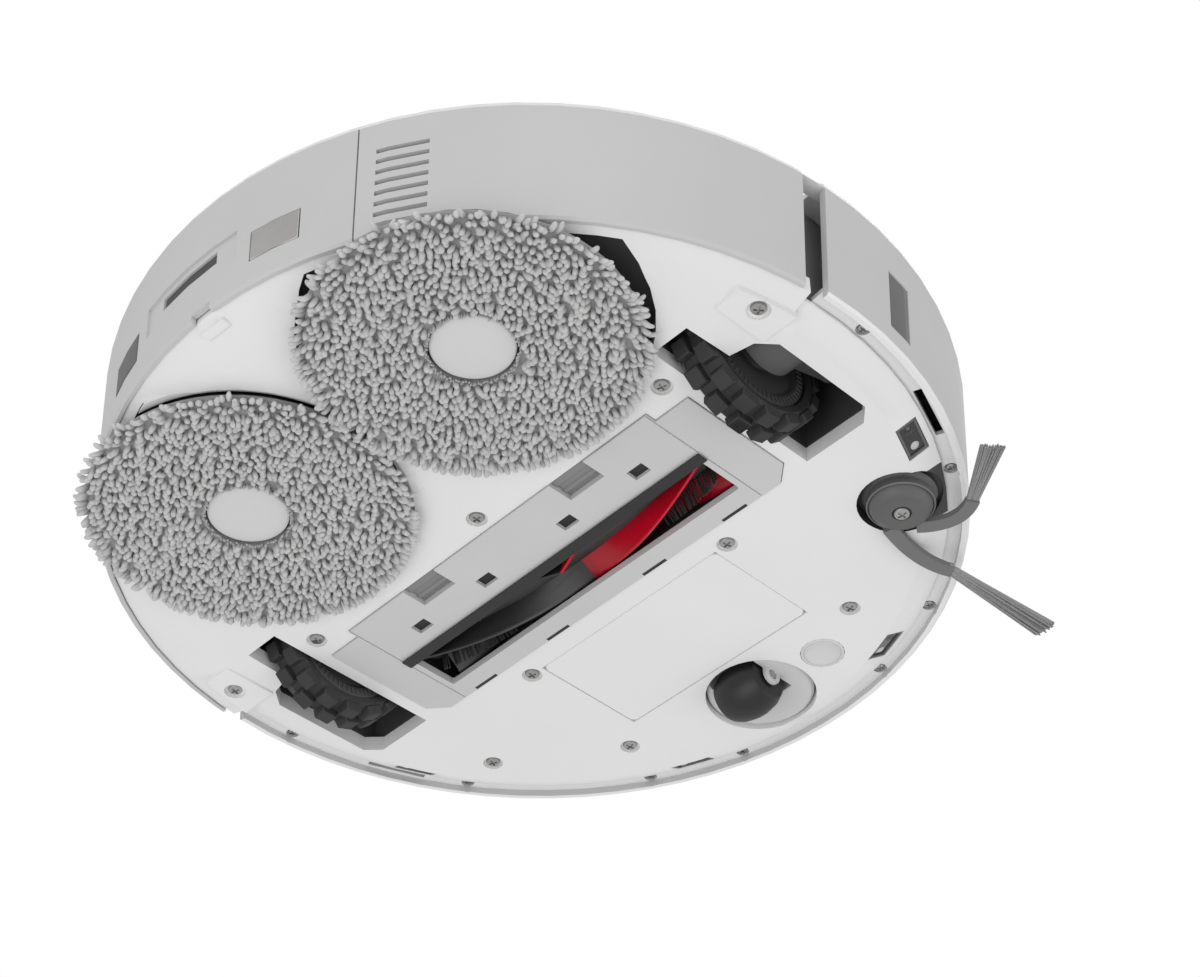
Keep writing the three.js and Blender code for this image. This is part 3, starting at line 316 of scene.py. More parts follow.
def mixed(tree, factor, first, second):
    """A colour between two others."""
    node = tree.nodes.new("ShaderNodeMix")
    node.data_type = "RGBA"
    colour_sockets = node.inputs[0], node.inputs[6], node.inputs[7]
    for socket, value in zip(colour_sockets, (factor, first, second)):
        if isinstance(value, bpy.types.NodeSocket):
            tree.links.new(value, socket)
        else:
            socket.default_value = value
    return node.outputs[2]


def build_mould_grain():
    """Spark-eroded grain of moulded plastic, over the slow ripple of its wall."""
    tree, given, out = node_group(
        "MouldGrain",
        [("Vector", "NodeSocketVector", None), ("Grain", "NodeSocketFloat", 2200.0)],
        [("Height", "NodeSocketFloat")],
    )
    fine = noise(tree, given.outputs["Vector"], given.outputs["Grain"], 3.0, 0.65)
    ripple = noise(tree, given.outputs["Vector"], 38.0, 1.0)
    tree.links.new(
        math_node(tree, "ADD", fine, math_node(tree, "MULTIPLY", ripple, 1.6)), out.inputs["Height"]
    )
    return tree


def build_handling_marks():
    """Faint hairline scuffs in two directions, and cloudy hand marks."""
    tree, given, out = node_group(
        "HandlingMarks", [("Vector", "NodeSocketVector", None)], [("Marks", "NodeSocketFloat")]
    )
    total = None
    for turn in (0.5, 2.1):
        lay = add(tree, "ShaderNodeMapping", Vector=given.outputs["Vector"])
        lay.inputs["Rotation"].default_value = (0.3, 0.1, turn)
        lay.inputs["Scale"].default_value = (14.0, 900.0, 40.0)
        line = spread(tree, noise(tree, lay.outputs["Vector"], 1.0, 2.0), 0.66, 0.72)
        total = line if total is None else math_node(tree, "MAXIMUM", total, line)
    cloud = spread(tree, noise(tree, given.outputs["Vector"], 26.0, 4.0), 0.42, 0.68)
    patch = math_node(tree, "MULTIPLY", total, cloud)
    soft = math_node(tree, "MULTIPLY", cloud, 0.45)
    tree.links.new(math_node(tree, "ADD", patch, soft, clamp=True), out.inputs["Marks"])
    return tree


def build_tone_drift():
    """Slow drift between a colour and its dirtier neighbour, with specks of lint."""
    tree, given, out = node_group(
        "ToneDrift",
        [
            ("Vector", "NodeSocketVector", None),
            ("Clean", "NodeSocketColor", (0.8, 0.8, 0.8, 1)),
            ("Worn", "NodeSocketColor", (0.7, 0.7, 0.7, 1)),
        ],
        [("Color", "NodeSocketColor")],
    )
    broad = spread(tree, noise(tree, given.outputs["Vector"], 14.0, 5.0, 0.6), 0.35, 0.75)
    speck = spread(tree, noise(tree, given.outputs["Vector"], 640.0, 2.0), 0.72, 0.8)
    amount = math_node(tree, "ADD", broad, math_node(tree, "MULTIPLY", speck, 0.7), clamp=True)
    colour = mixed(tree, amount, given.outputs["Clean"], given.outputs["Worn"])
    tree.links.new(colour, out.inputs["Color"])
    return tree


def build_pile_fibre():
    """Fine twisted fibres of microfibre yarn."""
    tree, given, out = node_group(
        "PileFibre",
        [("Vector", "NodeSocketVector", None)],
        [("Height", "NodeSocketFloat"), ("Fleck", "NodeSocketFloat")],
    )
    strands = noise(tree, given.outputs["Vector"], 1900.0, 4.0, 0.75)
    clumps = noise(tree, given.outputs["Vector"], 420.0, 2.0)
    tree.links.new(
        math_node(tree, "ADD", strands, math_node(tree, "MULTIPLY", clumps, 0.8)),
        out.inputs["Height"],
    )
    tree.links.new(spread(tree, strands, 0.35, 0.7), out.inputs["Fleck"])
    return tree


def build_brushed_lines():
    """Fine parallel lines of turned or brushed metal."""
    tree, given, out = node_group(
        "BrushedLines", [("Vector", "NodeSocketVector", None)], [("Lines", "NodeSocketFloat")]
    )
    lay = add(tree, "ShaderNodeMapping", Vector=given.outputs["Vector"])
    lay.inputs["Scale"].default_value = (60.0, 60.0, 5200.0)
    tree.links.new(noise(tree, lay.outputs["Vector"], 1.0, 3.0), out.inputs["Lines"])
    return tree


MOULD_GRAIN = build_mould_grain()
HANDLING_MARKS = build_handling_marks()
TONE_DRIFT = build_tone_drift()
PILE_FIBRE = build_pile_fibre()
BRUSHED_LINES = build_brushed_lines()


# ------------------------------------------------------------------ materials
def grey(value, tint=(1.0, 1.0, 1.0)):
    return (value * tint[0], value * tint[1], value * tint[2], 1.0)


def new_material(name, **sockets):
    """A material with its Principled shader's fixed values set, and Object coordinates."""
    material = bpy.data.materials.new(name)
    material.use_nodes = True
    tree = material.node_tree
    shader = tree.nodes["Principled BSDF"]
    for label, value in sockets.items():
        shader.inputs[label.replace("_", " ")].default_value = value
    place = tree.nodes.new("ShaderNodeTexCoord").outputs["Object"]
    return material, tree, shader, place


def use_group(tree, group, vector, **values):
    node = tree.nodes.new("ShaderNodeGroup")
    node.node_tree = group
    tree.links.new(vector, node.inputs["Vector"])
    for label, value in values.items():
        node.inputs[label].default_value = value
    return node


def bump(tree, shader, height, distance):
    node = add(tree, "ShaderNodeBump", Height=height, Distance=distance, Strength=1.0)
    tree.links.new(node.outputs["Normal"], shader.inputs["Normal"])


def moulded(name, clean, worn, rough, rough_worn, grain=2200.0, depth=0.00002, **sockets):
    """Moulded plastic: tone drift, handling marks in the gloss, and mould grain."""
    material, tree, shader, place = new_material(name, **sockets)
    tone = use_group(tree, TONE_DRIFT, place, Clean=clean, Worn=worn)
    tree.links.new(tone.outputs["Color"], shader.inputs["Base Color"])
    marks = use_group(tree, HANDLING_MARKS, place)
    gloss = spread(tree, marks.outputs["Marks"], 0.0, 1.0, rough, rough_worn)
    tree.links.new(gloss, shader.inputs["Roughness"])
    texture = use_group(tree, MOULD_GRAIN, place, Grain=grain)
    bump(tree, shader, texture.outputs["Height"], depth)
    return material


WHITE = moulded("white plastic", grey(0.82), grey(0.79), 0.38, 0.5)
# painted shade: a greyer copy of the white plastic, for the shade on the sideways faces of the rear wall
# and bumper; its tone drift, marks and grain are its own
WHITE_WITH_PAINTED_SHADE = moulded("white plastic with painted shade", grey(0.56), grey(0.535), 0.42, 0.52, grain=1700.0)
SILVER_GREY = moulded(
    "silver grey plastic", grey(0.6, (1, 1, 1.01)), grey(0.56), 0.4, 0.52, grain=1600.0
)
CAP_GREY = moulded("mop cap plastic", grey(0.66), grey(0.63), 0.45, 0.58, grain=1500.0)
CHARCOAL = moulded("charcoal plastic", grey(0.045), grey(0.07), 0.5, 0.68, grain=1300.0, depth=0.00003)
DARK_GREY = moulded("dark grey plastic", grey(0.1), grey(0.13), 0.5, 0.62, grain=1400.0)
WINDOW = moulded(
    "smoked window", grey(0.006), grey(0.012), 0.06, 0.16, grain=500.0, depth=0.000004, Coat_Weight=0.6
)
RUBBER = moulded("black rubber", grey(0.018), grey(0.035), 0.62, 0.82, grain=1100.0, depth=0.00004)
WHEEL_BLACK = moulded("black wheel plastic", grey(0.008), grey(0.016), 0.42, 0.6, grain=1500.0)
FIN_BLACK = moulded("black fin rubber", grey(0.022), grey(0.04), 0.34, 0.5, grain=900.0)
FIN_RED = moulded(
    "red fin rubber", (0.58, 0.0, 0.018, 1), (0.42, 0.0, 0.012, 1), 0.3, 0.46, grain=800.0,
    depth=0.000015, Subsurface_Weight=0.15,
)
BACKING_GREY = moulded("backing plastic", grey(0.22), grey(0.26), 0.5, 0.62, grain=1400.0)
LENS = moulded("pale lens", grey(0.55), grey(0.5), 0.08, 0.16, grain=500.0, depth=0.000004)
STRAP_GREY = moulded("grey strap rubber", grey(0.15), grey(0.19), 0.5, 0.68, grain=1200.0)
CELL_WRAP = moulded("battery wrap", (0.03, 0.13, 0.38, 1), (0.02, 0.09, 0.3, 1), 0.3, 0.42)


def build_chenille():
    """Microfibre yarn: pale tips over painted shade towards the roots, each finger with its own tone."""
    material, tree, shader, place = new_material(
        "chenille microfibre", Sheen_Weight=0.35, Sheen_Roughness=0.5
    )
    tone = add(tree, "ShaderNodeAttribute", {"attribute_name": "finger_tone"}).outputs["Fac"]
    root_shade_rise = add(tree, "ShaderNodeAttribute", {"attribute_name": "finger_rise"}).outputs["Fac"]
    fibre = use_group(tree, PILE_FIBRE, place)
    tips = mixed(tree, tone, grey(0.52), grey(0.64, (1.0, 0.997, 0.99)))
    tips = mixed(tree, math_node(tree, "MULTIPLY", fibre.outputs["Fleck"], 0.35), tips, grey(0.7))
    # painted shade: the colour runs from grey 0.32 at the roots, and on the backing that has no
    # finger_rise, up to the pale tips, for the shade between the fingers
    depth = spread(tree, root_shade_rise, 0.1, 0.8)
    tree.links.new(mixed(tree, depth, grey(0.32), tips), shader.inputs["Base Color"])
    rough = spread(tree, fibre.outputs["Fleck"], 0.0, 1.0, 0.78, 0.95)
    tree.links.new(rough, shader.inputs["Roughness"])
    bump(tree, shader, fibre.outputs["Height"], 0.0003)
    return material


def build_bristle(name, dark, pale):
    """Nylon bristles, flecked between a dark and a pale tone."""
    material, tree, shader, place = new_material(name)
    fibre = use_group(tree, PILE_FIBRE, place)
    tree.links.new(mixed(tree, fibre.outputs["Fleck"], dark, pale), shader.inputs["Base Color"])
    rough = spread(tree, fibre.outputs["Fleck"], 0.0, 1.0, 0.4, 0.62)
    tree.links.new(rough, shader.inputs["Roughness"])
    bump(tree, shader, fibre.outputs["Height"], 0.00005)
    return material


def build_steel(name, colour, rough):
    material, tree, shader, place = new_material(name, Metallic=1.0)
    lines = use_group(tree, BRUSHED_LINES, place).outputs["Lines"]
    tone = use_group(
        tree, TONE_DRIFT, place, Clean=grey(colour), Worn=grey(colour * 0.72, (1.04, 1.0, 0.95))
    )
    tree.links.new(tone.outputs["Color"], shader.inputs["Base Color"])
    tree.links.new(spread(tree, lines, 0.3, 0.7, rough, rough + 0.18), shader.inputs["Roughness"])
    bump(tree, shader, lines, 0.00001)
    return material


CHENILLE = build_chenille()
BRISTLE_GREY = build_bristle("grey bristle", grey(0.2), grey(0.38))
BRISTLE_BLACK = build_bristle("black bristle", grey(0.012), grey(0.05))
STEEL = build_steel("screw steel", 0.5, 0.28)
CONTACT_METAL = build_steel("contact metal", 0.62, 0.3)


def build_board():
    """Solder-masked circuit board with copper tracks under the mask."""
    material, tree, shader, place = new_material("circuit board")
    cells = add(tree, "ShaderNodeTexVoronoi", {"distance": "MANHATTAN"}, Vector=place, Scale=240.0)
    tracks = spread(tree, cells.outputs["Distance"], 0.2, 0.26)
    base = mixed(tree, tracks, (0.02, 0.16, 0.07, 1), (0.01, 0.07, 0.035, 1))
    tree.links.new(base, shader.inputs["Base Color"])
    marks = use_group(tree, HANDLING_MARKS, place)
    tree.links.new(
        spread(tree, marks.outputs["Marks"], 0.0, 1.0, 0.3, 0.5), shader.inputs["Roughness"]
    )
    bump(tree, shader, tracks, 0.00004)
    return material


BOARD = build_board()

# ------------------------------------------------------------------ shared fixed parts
PLATE_Z = 14.0  # underside plate, mm above the floor
PLATE_SCREWS = [
    (-56.6, -51), (56.6, -51), (-63.8, -115), (63.8, -115), (0, 30), (-100.5, 28.6),
    (100.5, 28.6), (-113.5, -80), (113.5, -80),
]
CORNER_SCREWS = [(-151.7, 31.2), (149.5, 33)]
DIMPLES = [(-139, 96), (-54, 156), (54, 156), (139, 96)]
SCREW_HEAD = 3.1


def screw_head(radius):
    """A pan head with a cross recess, facing down, its seat at the origin."""
    profile = [
        (0, -1.3), (radius * 0.55, -1.25), (radius * 0.88, -0.95), (radius, -0.35), (radius, 0.4),
        (0, 0.4),
    ]
    head = turned(profile, (0, 0, 0), 20)
    arm, slot = radius * 0.62, radius * 0.13
    deep = -0.45
    return carve(
        head,
        block(-arm, arm, -slot, slot, -2, deep),
        block(-slot, slot, -arm, arm, -2.01, deep + 0.01),
    )


def screws(name, body, radius, places):
    """Copies of one screw head at places in mm, each turned differently."""
    rng = random.Random(len(places))
    first = screw_head(radius)
    heads = []
    for x, y, z in places:
        turn = Matrix.Rotation(rng.uniform(0, math.pi), 4, "Z")
        heads.append(moved(first, Matrix.Translation(Vector((x, y, z)) * MM) @ turn))
    removed(first)
    return finish(joined(*heads), name, body, STEEL, "steel", angle=40)


# ------------------------------------------------------------------ underside plate
PLATE_EDGE = 159.5  # where the raised corner pads end, from the middle
MOP_BAY = 78.0  # radius round a mop's axis inside which the tray's ceiling is dark
CUP_RADIUS = 17.6  # of the side brush's cup


def raised_corner(x, y):
    """A thick, soft-edged pad outside a wheel, with a counterbore for its screw."""
    side = math.copysign(1, x)
    ends = sorted((x - side * 11, x + side * 13))
    piece = block(*ends, y - 14, y + 13, PLATE_Z - 1.0, PLATE_Z + 6)
    edit(piece, "DESELECT")
    leave()
    for face in piece.data.polygons:
        face.select = face.normal.z < -0.9
    bpy.ops.object.mode_set(mode="EDIT")
    bpy.ops.transform.resize(value=(0.88, 0.88, 1), center_override=Vector((x, y, 0)) * MM)
    leave()
    carve(piece, rod(PLATE_EDGE, (0, 0, 0), (0, 0, 40), 96), keep="INTERSECT")
    carve(piece, rod(4.6, (x, y, 5), (x, y, PLATE_Z + 0.8), 24))
    return soften(piece, 1.0, 3, 25)


def underside_plate():
    """The CAD plate with rounded edges, screw wells and dimples cut into it."""
    plate = cad_copy("base_plate")
    wells = [rod(4.3, (x, y, 5), (x, y, PLATE_Z + 1.5), 24) for x, y in PLATE_SCREWS]
    wells += [rod(3.9, (x, y, 5), (x, y, PLATE_Z + 1.6), 24) for x, y in DIMPLES]
    carve(plate, *wells)
    soften(plate, 0.45, 2, 40)
    return plate


def darken_recesses(plate):
    """The ceiling of the mop bays and the side brush's cup are dark."""
    plate.data.materials.append(CHARCOAL)
    axes = [centre_of("mop_cap_right") / MM, centre_of("mop_cap_left") / MM]
    brush = centre_of("side_brush_hub") / MM
    for face in plate.data.polygons:
        c = face.center / MM
        near_mop = min(math.hypot(c.x - m.x, c.y - m.y) for m in axes) < MOP_BAY
        ceiling = face.normal.z < -0.9 and PLATE_Z + 8 < c.z < PLATE_Z + 10
        cup = math.hypot(c.x - brush.x, c.y - brush.y) < CUP_RADIUS and c.z > PLATE_Z + 0.7
        if (ceiling and near_mop) or cup:
            face.material_index = 1


plate = underside_plate()
finish(plate, "underside_plate", "chassis", WHITE, "white_plastic", "base_plate")
darken_recesses(plate)
for label, (x, y) in zip(("right", "left"), CORNER_SCREWS):
    pad = raised_corner(x, y)
    finish(pad, "corner_pad_" + label, "chassis", WHITE, "white_plastic")
mop = centre_of("mop_cap_left") / MM
lip_profile = [(61.2, 16.0), (62.4, 15.4), (64.2, 15.4), (64.2, 17.4), (61.2, 17.4), (61.2, 16.0)]
dish_lip = turned(lip_profile, (mop.x, mop.y, 0), 96)
carve(dish_lip, rod(164.4, (0, 0, 0), (0, 0, 40), 96), keep="INTERSECT")
finish(dish_lip, "left_mop_dish_lip", "chassis", WHITE, "white_plastic")
low_screws = [(x, y, PLATE_Z + 0.4) for x, y in CORNER_SCREWS]
flat_screws = [(x, y, PLATE_Z + 1.2) for x, y in PLATE_SCREWS]
screws("plate_screws", "chassis", SCREW_HEAD, flat_screws + low_screws)


# ------------------------------------------------------------------ wall, bumper and cover details
CLIP_TURN = Matrix.Rotation(math.radians(3.4), 4, "Z")  # the wall's clip, to the right of the rear
WALL_JOINT_TURN = Matrix.Rotation(math.radians(26), 4, "Z")
SLOT_ANGLES = (111, 249)  # of the bumper's two slots, in degrees from the rear
SLOT_RADIUS = 165.3
COVER_SEAM = 86  # the cover's two seams, right and left of its middle
LATCH_SPOT = 43  # the two latch pockets
TAB_SPOTS = (-72, -28, 28, 72)
WINDOW_SPOTS = (-63, -23.5, 23.5, 63)


def side_wall():
    """The rear wall with its joint line and a clip notch."""
    wall = cad_copy("side_wall")
    low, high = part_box("side_wall")
    outer = (high.x - low.x) / 2 / MM
    joint_line = block(-0.3, 0.3, outer - 5, outer + 2, 10, 80)
    joint_line.data.transform(WALL_JOINT_TURN)
    notch = block(-5, 5, 160, 180, 10, PLATE_Z + 6.5)
    notch.data.transform(CLIP_TURN)
    carve(wall, joint_line, notch)
    return soften(wall, 0.5)


FLANGE_Z = PLATE_Z + 8.3  # underside of the bumper's flange
FLANGE_SCREW_RADIUS = 166.0
FLANGE_SCREW_ANGLES = [14, 29.3, 57.7, 86.7]  # degrees from the front, on both sides
FLANGE_SCREWS = [
    spot(FLANGE_SCREW_RADIUS, 180 + side * angle, FLANGE_Z + 1.3)
    for angle in FLANGE_SCREW_ANGLES
    for side in (-1, 1)
]


def bumper():
    """The bumper with a slot beside each rear cliff sensor and wells for its screws."""
    shell = cad_copy("bumper_shell")
    cutters = [rod(2.9, (x, y, FLANGE_Z - 5), (x, y, z + 0.2), 24) for x, y, z in FLANGE_SCREWS]
    for degrees in SLOT_ANGLES:
        slot = block(-13, 13, -1.7, 1.7, 15, 30)
        place = Matrix.Translation(spot(SLOT_RADIUS, degrees) * MM)
        slot.data.transform(place @ Matrix.Rotation(math.radians(degrees), 4, "Z"))
        cutters.append(slot)
    carve(shell, *cutters)
    return soften(shell, 0.6)


def deck():
    """The deck with a finger scoop behind the lid and a groove round each button."""
    top = cad_copy("deck")
    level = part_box("deck")[1].z / MM
    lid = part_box("dust_lid")[1].y / MM
    cutters = []
    for button in ("power_button", "home_button"):
        x, y = centre_of(button).xy / MM
        inner, outer, low, high = 10.2, 11.0, level - 0.5, level + 1
        groove = [(inner, low), (outer, low), (outer, high), (inner, high), (inner, low)]
        cutters.append(turned(groove, (x, y, 0), 48))
    scoop = turned([(0, -1.3), (5, -1.1), (8, -0.5), (10, 0.6), (0, 0.6)], (0, lid + 1, level), 48)
    carve(top, *cutters)
    carve(top, scoop)
    return soften(top, 0.4)


def brush_cover():
    """The cover with a seam near each end."""
    cover = cad_copy("brush_cover")
    low, high = (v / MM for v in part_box("brush_cover"))
    seams = [
        block(x - 0.3, x + 0.3, low.y - 1, high.y + 1, low.z - 1, low.z + 0.6)
        for x in (-COVER_SEAM, COVER_SEAM)
    ]
    carve(cover, *seams)
    return soften(cover, 0.6, 3)


finish(deck(), "deck_with_grooves", "chassis", WHITE, "white_plastic", "deck")
wall = side_wall()
finish(wall, "rear_wall", "chassis", WHITE_WITH_PAINTED_SHADE, "white_plastic", "side_wall")
bumper_shell = bumper()
finish(bumper_shell, "bumper_with_slots", "bumper", WHITE_WITH_PAINTED_SHADE, "white_plastic", "bumper_shell")
# painted light: the bumper's downward faces, lit from below, take the plain white, while its sideways
# faces keep the copy with painted shade
bumper_shell.data.materials.append(WHITE)
for face in bumper_shell.data.polygons:
    if face.normal.z < -0.7:
        face.material_index = 1
cover = brush_cover()
finish(cover, "cover_with_tabs", "brush_cover", SILVER_GREY, "grey_plastic", "brush_cover")
latch_floors = [
    block(x - 9, x + 9, 11.8, 22.4, PLATE_Z + 1.9, PLATE_Z + 2.3) for x in (-LATCH_SPOT, LATCH_SPOT)
]
latch_floor = soften(joined(*latch_floors), 0.1)
finish(latch_floor, "latch_pocket_floor", "brush_cover", BACKING_GREY, "grey_plastic")
tab_slots = [
    soften(block(x - 6.5, x + 6.5, -40.0, -38.4, PLATE_Z - 0.82, PLATE_Z - 0.5), 0.1)
    for x in TAB_SPOTS
]
finish(joined(*tab_slots), "front_tab_slots", "brush_cover", RUBBER, "black_rubber")

for index, x in enumerate(WINDOW_SPOTS):
    pane = soften(block(x - 4.6, x + 4.6, 0.4, 7.1, PLATE_Z + 0.9, PLATE_Z + 1.6), 0.3)
    finish(pane, f"cover_window_{index + 1}", "brush_cover", RUBBER, "black_window")

screws("bumper_screws", "bumper", 2.3, FLANGE_SCREWS)

clip = soften(block(-6, 6, 161.5, 165.5, PLATE_Z + 1.2, PLATE_Z + 4.2), 0.5)
clip.data.transform(CLIP_TURN)
finish(clip, "wall_clip", "chassis", WHITE, "white_plastic")


# ------------------------------------------------------------------ sensors
BEVEL_TILT = math.atan2(6.4, 11.0)  # slope of the plate's edge


def cliff_sensor(node):
    """A framed window lying on the bevel, with a pale emitter and a dark receiver behind it."""
    middle = centre_of(node)
    turn = Matrix.Rotation(math.atan2(-middle.x, middle.y), 4, "Z")
    place = Matrix.Translation(middle) @ turn @ Matrix.Rotation(BEVEL_TILT, 4, "X")
    half = Vector((8.5, 4.5, 1.1))
    frame_piece = block(-half.x, half.x, -half.y, half.y, -half.z, half.z)
    carve(frame_piece, block(-7.4, 7.4, -3.4, 3.4, -2, -0.2))
    soften(frame_piece, 0.3)
    pane = soften(block(-7.5, 7.5, -3.5, 3.5, -0.4, 0.3), 0.1)
    lenses = {
        "emitter": turned([(0, -0.95), (1.2, -0.8), (1.9, -0.4), (1.9, 0), (0, 0)], (-4.2, 0, 0), 24),
        "receiver": turned([(0, -0.75), (1.3, -0.6), (2.1, -0.35), (2.1, 0), (0, 0)], (4.2, 0, 0), 24),
    }
    for piece in (frame_piece, pane, *lenses.values()):
        piece.data.transform(place)
    finish(frame_piece, node + "_frame", "chassis", DARK_GREY, "black_window", node)
    finish(pane, node + "_window", "chassis", WINDOW, "black_window")
    finish(lenses["emitter"], node + "_emitter", "chassis", LENS, "black_window")
    finish(lenses["receiver"], node + "_receiver", "chassis", WINDOW, "black_window")


for node in [n for n in NODES if n.startswith("cliff_sensor")]:
    cliff_sensor(node)


def carpet_dish():
    """The round carpet sensor: a shallow dish inside a thin double ring."""
    low, high = (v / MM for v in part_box("carpet_sensor"))
    r, z = (high.x - low.x) / 2, low.z
    profile = [
        (0, z + 1.6), (r - 4.2, z + 1.4), (r - 2.4, z + 0.7), (r - 1.9, z + 0.1), (r - 1.6, z + 0.1),
        (r - 1.4, z + 0.5), (r - 1.1, z + 0.5), (r - 0.9, z), (r - 0.3, z), (r, z + 0.3), (r, high.z),
        (0, high.z),
    ]
    middle = centre_of("carpet_sensor") / MM
    return turned(profile, (middle.x, middle.y, 0), 48)


finish(carpet_dish(), "carpet_sensor_dish", "chassis", CAP_GREY, "white_plastic", "carpet_sensor")


# ------------------------------------------------------------------ plain softened CAD pieces
SOFTENED = [
    # node, edge radius in mm, material, slot
    ("dust_lid", 0.5, WHITE, "white_plastic"),
    ("turret_tower", 0.6, WHITE, "white_plastic"),
    ("turret_rotor", 0.5, CHARCOAL, "charcoal_plastic"),
    ("bumper_side_window", 0.4, WINDOW, "black_window"),
    ("bumper_front_window", 0.4, WINDOW, "black_window"),
    ("bumper_backing", 0.4, BACKING_GREY, "charcoal_plastic"),
    ("charge_contact_right", 0.5, CONTACT_METAL, "steel"),
    ("charge_contact_left", 0.5, DARK_GREY, "charcoal_plastic"),
    ("docking_port", 0.4, CHARCOAL, "charcoal_plastic"),
    ("battery_door", 0.5, WHITE, "white_plastic"),
    ("scraper_strip", 0.3, RUBBER, "black_rubber"),
    ("cover_latch_right", 0.4, BACKING_GREY, "grey_plastic"),
    ("cover_latch_left", 0.4, BACKING_GREY, "grey_plastic"),
    ("wheel_arm_right", 2.4, DARK_GREY, "charcoal_plastic"),
    ("wheel_arm_left", 2.4, DARK_GREY, "charcoal_plastic"),
    ("wheel_well_right", 0.6, CHARCOAL, "charcoal_plastic"),
    ("wheel_well_left", 0.6, CHARCOAL, "charcoal_plastic"),
    ("caster_fork", 0.7, SILVER_GREY, "grey_plastic"),
    ("caster_wheel", 0.6, WHEEL_BLACK, "charcoal_plastic"),
    ("caster_axle", 0.3, STEEL, "steel"),
    ("roller_core", 0.8, CHARCOAL, "charcoal_plastic"),
    ("side_brush_hub", 0.5, DARK_GREY, "charcoal_plastic"),
    ("power_button", 0.6, SILVER_GREY, "grey_plastic"),
    ("home_button", 0.6, SILVER_GREY, "grey_plastic"),
    ("mop_plate_right", 0.6, CHARCOAL, "charcoal_plastic"),
    ("mop_plate_left", 0.6, CHARCOAL, "charcoal_plastic"),
    ("mop_swing_arm", 0.6, CHARCOAL, "charcoal_plastic"),
    ("mop_carriage", 0.6, CHARCOAL, "charcoal_plastic"),
    ("dust_bin", 0.6, CHARCOAL, "charcoal_plastic"),
    ("brush_chamber", 0.8, CHARCOAL, "charcoal_plastic"),
]
for node, width, material, slot in SOFTENED:
    piece = soften(cad_copy(node), width)
    finish(piece, node + "_finished", BODY_OF[node], material, slot, node)

# hidden nodes that stay as they are and only get a material
KEPT = {
    "dust_filter": CHENILLE, "battery_pack": CELL_WRAP, "main_board": BOARD, "roller_motor": STEEL,
    "side_brush_motor": STEEL, "suction_fan": CHARCOAL,
}


# ------------------------------------------------------------------ mop pads
PILE_SPACING = 2.5
RIM_SHARE = 0.87  # the fingers beyond this share of the radius lean outwards
FINGER_SIDES = 6
FINGER_RINGS = [(0.0, 0.7), (0.3, 0.92), (0.6, 1.08), (0.82, 1.0), (0.96, 0.62)]  # (along, thickness)
HOLE_FRINGE = 120  # short fingers round the cap's hole


def finger(base, lean, length, radius, bend):
    """Vertices and faces of one yarn finger: a bent, round-ended tube, in mm."""
    # rises hold each point's share along the finger, which the material turns into painted shade at the
    # roots
    points, faces, rises = [], [], []
    flat = lean.normalized()
    side = Vector((-lean.y, lean.x, 0)).normalized()
    for along, wide in FINGER_RINGS:
        tilt = lean.length * (0.55 + 0.9 * along * bend)
        out = flat * math.sin(tilt) + Vector((0, 0, -math.cos(tilt)))
        centre = base + out * (length * along)
        across = side.cross(out)
        for k in range(FINGER_SIDES):
            a = FULL_TURN * k / FINGER_SIDES
            points.append(centre + (side * math.cos(a) + across * math.sin(a)) * radius * wide)
            rises.append(along)
    last = len(FINGER_RINGS) - 1
    tip = sum(points[-FINGER_SIDES:], Vector()) / FINGER_SIDES + out * radius * 0.3
    points.append(tip)
    rises.append(1.0)
    for ring in range(last):
        for k in range(FINGER_SIDES):
            a, b = ring * FINGER_SIDES + k, ring * FINGER_SIDES + (k + 1) % FINGER_SIDES
            faces.append((a, b, b + FINGER_SIDES, a + FINGER_SIDES))
    for k in range(FINGER_SIDES):
        a = last * FINGER_SIDES + k
        faces.append((a, last * FINGER_SIDES + (k + 1) % FINGER_SIDES, len(points) - 1))
    faces.append(tuple(reversed(range(FINGER_SIDES))))
    return points, faces, rises


def pile_places(inner, outer, rng):
    """Tufting rows across the backing, jittered, with a ring of places along its rim."""
    places = []
    rows = math.ceil(outer / PILE_SPACING)
    for i in range(-rows, rows + 1):
        for j in range(-rows, rows + 1):
            x = (i + 0.5 * (j % 2)) * PILE_SPACING * 1.08 + rng.uniform(-0.4, 0.4)
            y = j * PILE_SPACING * 0.92 + rng.uniform(-0.4, 0.4)
            if inner < math.hypot(x, y) < outer - 1.6:
                places.append(Vector((x, y, 0)))
    around = round(FULL_TURN * outer / (PILE_SPACING * 0.8))
    for k in range(around):
        a = FULL_TURN * (k + rng.uniform(-0.25, 0.25)) / around
        places.append(Vector((math.cos(a), math.sin(a), 0)) * outer)
    return places


